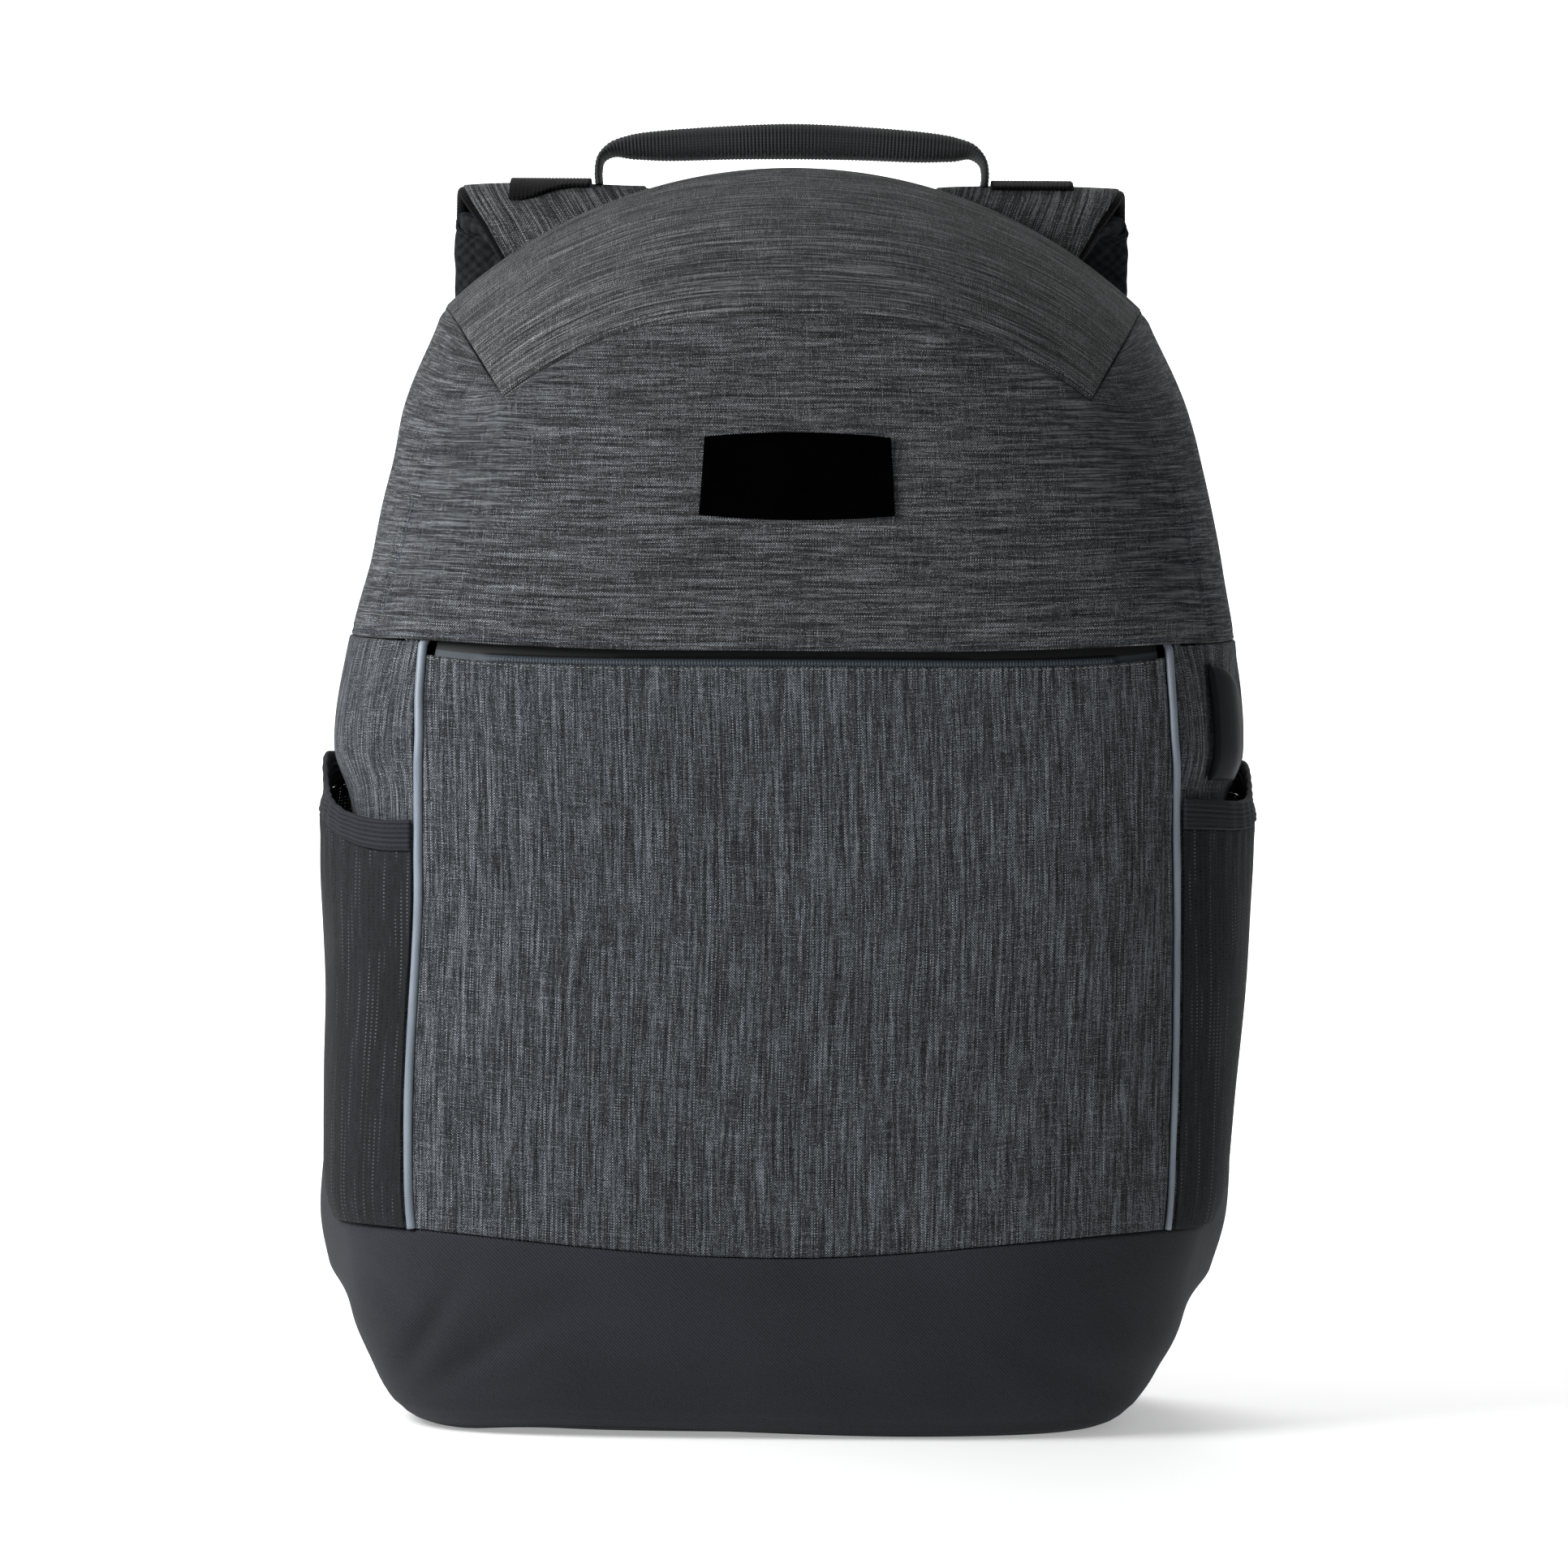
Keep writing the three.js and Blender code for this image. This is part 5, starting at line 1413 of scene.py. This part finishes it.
# %% Shoulder straps
FACE_OUT, FACE_THICK, FACE_SHARE, FACE_CROWN = 5.0, 1.4, 0.985, 0.9
PAD_OUT, PAD_THICK, PAD_SHARE, PAD_ROLL = 3.3, 7.5, 1.04, 5.5
EDGE_OUT, EDGE_RADIUS, EDGE_BESIDE = 3.2, 1.9, np.array([0.2, 0, 0])
STITCH_COLUMN = 8
strap_t = stations(340, 2.2)
strap_across = stations(66, 2.2) * 2 - 1
middle = 1 - np.abs(strap_across[None]) ** 6
for side, word in SIDES:
    points, out = band_grid(STRAP_LINE, strap_t, strap_across * FACE_SHARE)
    run = run_lengths(points, 0)
    crown = FACE_CROWN * (1 - strap_across[None] ** 2)
    crown = crown + 0.5 * soft_waves(run, points[..., 0], 80 + side) * middle
    face_points = mirror_if(points + out * (FACE_OUT + crown - 0.6)[..., None], side)
    face, face_outer = cloth_piece(f"strap_cloth_{word}", face_points, FACE_THICK)
    # The strap face takes the same lighter heather, with its painted light.
    dress(face, HEATHER_ARCH_PAINTED_LIGHT, "heather", f"strap_face_{word}")

    wrinkle = soft_waves(run, points[..., 0], 90 + side, count=14, longest=30, shortest=7)
    wrinkle = wrinkle * (0.5 + 1.3 * middle)
    wide, _ = band_grid(STRAP_LINE, strap_t, strap_across * PAD_SHARE)
    pad_shape = wide + out * (PAD_OUT - PAD_THICK - wrinkle)[..., None]
    ripple = 0.9 * soft_waves(run, 3 * points[..., 1], 95 + side, longest=30, shortest=9)
    pad_shape[..., 0] += ripple * strap_across
    pad_points = mirror_if(pad_shape, side)[:, ::-1]
    pad, _ = cloth_piece(f"strap_padding_{word}", pad_points, PAD_THICK - 0.4, roll=PAD_ROLL)
    dress(pad, AIR_MESH, "mesh", f"strap_pad_{word}")

    strap_middle_x = face_points[0, len(strap_across) // 2, 0]
    for place, rim in (("inner", 0), ("outer", -1)):
        edge = mirror_if(points + out * EDGE_OUT, side)[:, rim]
        edge = edge + EDGE_BESIDE * np.sign(edge[0, 0] - strap_middle_x)
        edge = even_line(edge, TAPE_STEP)
        tape = round_cord(f"strap_binding_{place}_{word}", edge, EDGE_RADIUS, 10, 0.06, 1.5)
        dress(tape, BLACK_WEBBING, "webbing")
    normals = grid_normals(face_outer)
    seams = (STITCH_COLUMN, -STITCH_COLUMN - 1)
    stitches(
        f"strap_stitching_{word}", [face_outer[:, k] for k in seams], [normals[:, k] for k in seams],
        radius=0.24, slot="heather",
    )

# %% [markdown]
# ## The carry handle
# The handle is a band of webbing whose middle is rolled into a tube, with one edge lapped over the other.
# Its ends are flat and turn down to the strap crests, each beside a tab. A table gives its line and its
# two half thicknesses. Rings round that line make it one closed tube, with the weave's ribs and the lap.

# %% Line of the handle: x, z, half its depth and half its height
HANDLE_Y = 97
HANDLE_LINE = np.array([
    (-70.4, 439, 10.5, 1.4),
    (-70.8, 444.2, 10.5, 1.4),
    (-69.8, 449.3, 10, 1.6),
    (-65.5, 452.6, 9, 2.8),
    (-58, 453.6, 8, 4.6),
    (-45, 454.2, 7.5, 5.7),
    (-21, 455.4, 7.5, 6.2),
    (1, 455.9, 7.5, 6.5),
    (23, 455.4, 7.5, 6.2),
    (46, 454.2, 7.5, 5.7),
    (59, 453.4, 8, 4.6),
    (66.2, 452.4, 9, 2.8),
    (70.2, 448.8, 10, 1.6),
    (71.2, 444.2, 10.5, 1.4),
    (70.8, 439, 10.5, 1.4),
])
HANDLE_RINGS, HANDLE_SIDES, HANDLE_GIRTH, DENSE_STEPS = 420, 56, 7, 4000
handle_y = np.full(len(HANDLE_LINE), HANDLE_Y)
handle_line = np.stack([HANDLE_LINE[:, 0], handle_y, HANDLE_LINE[:, 1]], axis=-1)
dense_t = np.linspace(0, 1, DENSE_STEPS)
dense_run = line_lengths(through(handle_line, dense_t))
handle_run = np.linspace(0, dense_run[-1], HANDLE_RINGS)
handle_t = np.interp(handle_run, dense_run, dense_t)
handle_mid = through(handle_line, handle_t)
print("handle along its line:", dense_run[-1].round(1))

# %% Carry handle
HANDLE_RIB, HANDLE_RIB_LONG = 0.16, 1.35
LAP_TURN, LAP_WIDE, LAP_DEEP, ZIGZAG_LONG, ZIGZAG_TURN = 1.25 * math.pi, 0.09, 0.5, 3.2, 0.22
handle_way = unit(np.gradient(handle_mid, axis=0))
handle_out = np.stack([-handle_way[:, 2], np.zeros(HANDLE_RINGS), handle_way[:, 0]], axis=-1)
steps = np.arange(len(HANDLE_LINE), dtype=float)
deep = smooth_curve(steps, HANDLE_LINE[:, 2], handle_t * steps[-1])
tall = smooth_curve(steps, HANDLE_LINE[:, 3], handle_t * steps[-1])
turn = np.linspace(0, 2 * math.pi, HANDLE_SIDES, endpoint=False)
rolled = smoothstep(tall, 2.6, 5.2)[:, None]
rib = HANDLE_RIB * np.sin(handle_run * 2 * math.pi / HANDLE_RIB_LONG)[:, None]
zigzag = np.abs(((handle_run[:, None] / ZIGZAG_LONG) % 1) - 0.5) * ZIGZAG_TURN
lap = np.abs(((turn[None] - LAP_TURN - zigzag) + math.pi) % (2 * math.pi) - math.pi)
lap_step = -LAP_DEEP * np.exp(-(lap / LAP_WIDE) ** 2) * rolled
up = (tall[:, None] + rib + lap_step) * np.sin(turn)[None]
ring = handle_mid[:, None] + handle_out[:, None] * up[..., None]
ring[..., 1] += (deep[:, None] + rib + lap_step) * np.cos(turn)[None]
handle = tube("carry_handle", handle_mid, ring, handle_run, HANDLE_GIRTH, flip=True)
dress(handle, GRIP, "grip", "handle")

# %% Handle tabs on the strap crests
TAB_OUT, TAB_THICK, TAB_NEAR, TAB_FAR = 6.9, 1.6, 73.2, 103
TAB_FRONT, TAB_REAR = 3.2, 5.4
TAB_HANG = {-1: 0.55, 1: 0.0}
TAB_RIB, TAB_RIB_LONG, TAB_FRAY = 0.14, 1.3, 0.5
STRAP_LAST = len(STRAP_LINE) - 1
tab_run = stations(30, 0.7, 1.0)
tab_t = mix(TAB_FRONT, TAB_REAR, tab_run) / STRAP_LAST
tab_x = mix(TAB_NEAR, TAB_FAR, stations(30, 0.6, 1.0))
for side, word in SIDES:
    columns = []
    for x in tab_x:
        front = TAB_FRONT - TAB_HANG[side] * smoothstep(x, 78, 100)
        columns.append(band_grid(STRAP_LINE, mix(front, TAB_REAR, tab_run) / STRAP_LAST, np.zeros(1)))
    points = np.concatenate([column[0] for column in columns], axis=1)
    out = np.concatenate([column[1] for column in columns], axis=1)
    points[..., 0] = tab_x[None]
    rib = TAB_RIB * np.sin(tab_x * 2 * math.pi / TAB_RIB_LONG)[None]
    fray = TAB_FRAY * np.sin(tab_t * 900)[:, None] * smoothstep(tab_x, 100.5, 103)[None] * (side > 0)
    grid = points + out * (TAB_OUT + rib)[..., None]
    grid[..., 0] += fray
    tab, _ = cloth_piece(f"handle_tape_{word}", mirror_if(grid, side), TAB_THICK)
    dress(tab, BLACK_WEBBING, "webbing", f"handle_tab_{word}")

# %% [markdown]
# ## Webbing at the lower end of the straps
# None of this shows in the photograph, so it follows what such bags have: a loop of webbing holds an
# adjuster at the strap's end, and a second length runs through it from an anchor at the base and hangs
# free. Both are bands along a line of points, so one loop makes them. The anchor is sewn down with a
# crossed box of stitches.

# %% Lower webbing and loops
WEBBING_HALF, WEBBING_THICK = 11.4, 1.5
WEBBING_LINE = (
    (109, 77.6, 42.8),
    (107, 79.4, 56),
    (99, 87, 76),
    (88, 95, 93),
    (81.6, 98, 101.5),
    (81, 98.3, 107.3),
    (81, 101, 109.4),
    (81, 103.7, 107.3),
    (81, 104.2, 99),
    (80.7, 105.4, 72),
    (80.4, 106, 46),
    (80.2, 106, 24),
)
LOOP_LINE = (
    (81, 98.8, 145),
    (81, 98, 134),
    (81, 98.3, 125.5),
    (81, 101, 123.4),
    (81, 103.7, 125.5),
    (81, 104, 134),
    (81, 103.7, 144.4),
)
WEBBING_PIECES = (
    ("lower_webbing", "strap_webbing", WEBBING_LINE, 190),
    ("end_loop", "strap_loop", LOOP_LINE, 55),
)
webbing_across = stations(2 * WEBBING_HALF, 1.6, 0.8) * 2 - 1
for side, word in SIDES:
    for name, node, line, count in WEBBING_PIECES:
        points, out = band_grid(line, np.linspace(0, 1, count), webbing_across, WEBBING_HALF)
        grid = mirror_if(points + out * (WEBBING_THICK / 2), side)
        tape, _ = cloth_piece(f"{name}_{word}", grid, WEBBING_THICK)
        dress(tape, BLACK_WEBBING, "webbing", f"{node}_{word}")

# %% Anchors
ANCHOR_X, ANCHOR_LOW, ANCHOR_HIGH, ANCHOR_THICK = 109, 18, 42, 1.6
ANCHOR_HALF_TOP, ANCHOR_HALF_FOOT, SEAM_POINTS = 11.5, 13, 12
FIRST, LAST = 5, -6
BOX_SEAMS = (
    (FIRST, FIRST, FIRST, LAST),
    (FIRST, LAST, LAST, LAST),
    (LAST, LAST, LAST, FIRST),
    (LAST, FIRST, FIRST, FIRST),
    (FIRST, FIRST, LAST, LAST),
    (FIRST, LAST, LAST, FIRST),
)
for side, word in SIDES:
    v = stations(ANCHOR_HIGH - ANCHOR_LOW, 0.9, 1.0)[:, None]
    w = (stations(26, 0.9, 1.0) * 2 - 1)[None]
    z = mix(ANCHOR_HIGH, ANCHOR_LOW, v) + 0 * w
    x = ANCHOR_X + w * mix(ANCHOR_HALF_TOP, ANCHOR_HALF_FOOT, v)
    y = np.full_like(x, BACK_FACE_Y + GAP + ANCHOR_THICK) + 0.25 * np.cos(w * 4) * np.sin(v * math.pi)
    grid = mirror_if(np.stack([x, y, z], axis=-1), side)
    anchor, anchor_outer = cloth_piece(f"webbing_anchor_{word}", grid, ANCHOR_THICK)
    dress(anchor, TWILL, "webbing", f"strap_anchor_{word}")
    normal = grid_normals(anchor_outer)[8, 8]
    lines = [np.linspace(anchor_outer[a, b], anchor_outer[c, d], SEAM_POINTS) for a, b, c, d in BOX_SEAMS]
    normals = [np.tile(normal, (SEAM_POINTS, 1)) for _ in lines]
    stitches(f"anchor_stitching_{word}", lines, normals, long=2.4)

# %% [markdown]
# ## Small fittings
# The patch on the hood is left bare. The cover of the charging port is a moulded shell, flat below and
# arched above. Both lie on the body's surface, so they are grids like the panels. The strap adjusters keep
# their solids, with their edges rounded by a bevel.

# %% Patch
LABEL_LEFT_S, LABEL_RIGHT_S, LABEL_LOW, LABEL_HIGH = -0.134, 0.132, 309.5, 336
LABEL_MIDDLE_S, LABEL_HALF_S, LABEL_MIDDLE_Z, LABEL_HALF_TALL = -0.001, 0.133, 322.7, 13.3
LABEL_THICK, LABEL_BOW = 1.2, 1.7
label_s = mix(LABEL_LEFT_S, LABEL_RIGHT_S, stations(62, 1.2))[:, None]
label_z = mix(LABEL_LOW, LABEL_HIGH, stations(26.5, 1.0))[None]
bow = 1 - ((label_s - LABEL_MIDDLE_S) / LABEL_HALF_S) ** 2
label_z = label_z + LABEL_BOW * bow * (label_z - LABEL_MIDDLE_Z) / LABEL_HALF_TALL
label_height = hood_offset(label_s, label_z) + GAP + LABEL_THICK
label, _ = cloth_piece("label", body_point(label_s, label_z), LABEL_THICK, label_height)
dress(label, PATCH, "label", "label_patch")

# %% Cover of the charging port
USB_S, USB_WIDE, USB_LOW, USB_STRAIGHT, USB_ARCH = 0.6, 27, 222, 22, 17
USB_PROUD, USB_SHELL, USB_LIFT, USB_ROUND = 1.5, 0.8, 0.5, 0.16
usb_a = (stations(USB_WIDE, 0.5, 2.0) * 2 - 1)[:, None]
usb_b = stations(USB_STRAIGHT + USB_ARCH, 0.6, 2.0)[None]
usb_tall = USB_STRAIGHT + USB_ARCH * np.sqrt(np.maximum(1 - ((usb_a + 1) / 2) ** 2, 0.03))
usb_z = USB_LOW + usb_tall * usb_b
usb_s = USB_S + share(usb_a * USB_WIDE / 2, usb_z)
usb_edge = np.minimum(np.minimum(1 - np.abs(usb_a), 2 * usb_b), 1.4 * (1 - usb_b))
usb_rise = USB_PROUD * np.sqrt(1 - (1 - np.minimum(usb_edge / USB_ROUND, 1)) ** 2)
usb_rise = usb_rise * (1 - 0.8 * smoothstep(usb_a, -0.2, 0.9))
usb_top = 2 * GAP + USB_SHELL + usb_rise - port_recess(usb_s, usb_z) + USB_LIFT
usb, _ = cloth_piece("port_cover", body_point(usb_s, usb_z), USB_SHELL + usb_rise, usb_top, roll=0.8)
dress(usb, PLASTIC, "plastic", "usb_hood")

# %% Strap adjusters
BEVEL_WIDTH = 0.0006
for _, word in SIDES:
    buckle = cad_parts[f"strap_adjuster_{word}"]
    buckle.data.materials.clear()
    buckle.data.materials.append(PLASTIC)
    rounded = buckle.modifiers.new("rounded", "BEVEL")
    rounded.width = BEVEL_WIDTH
    rounded.segments = 3
    print("rounded:", buckle.name)
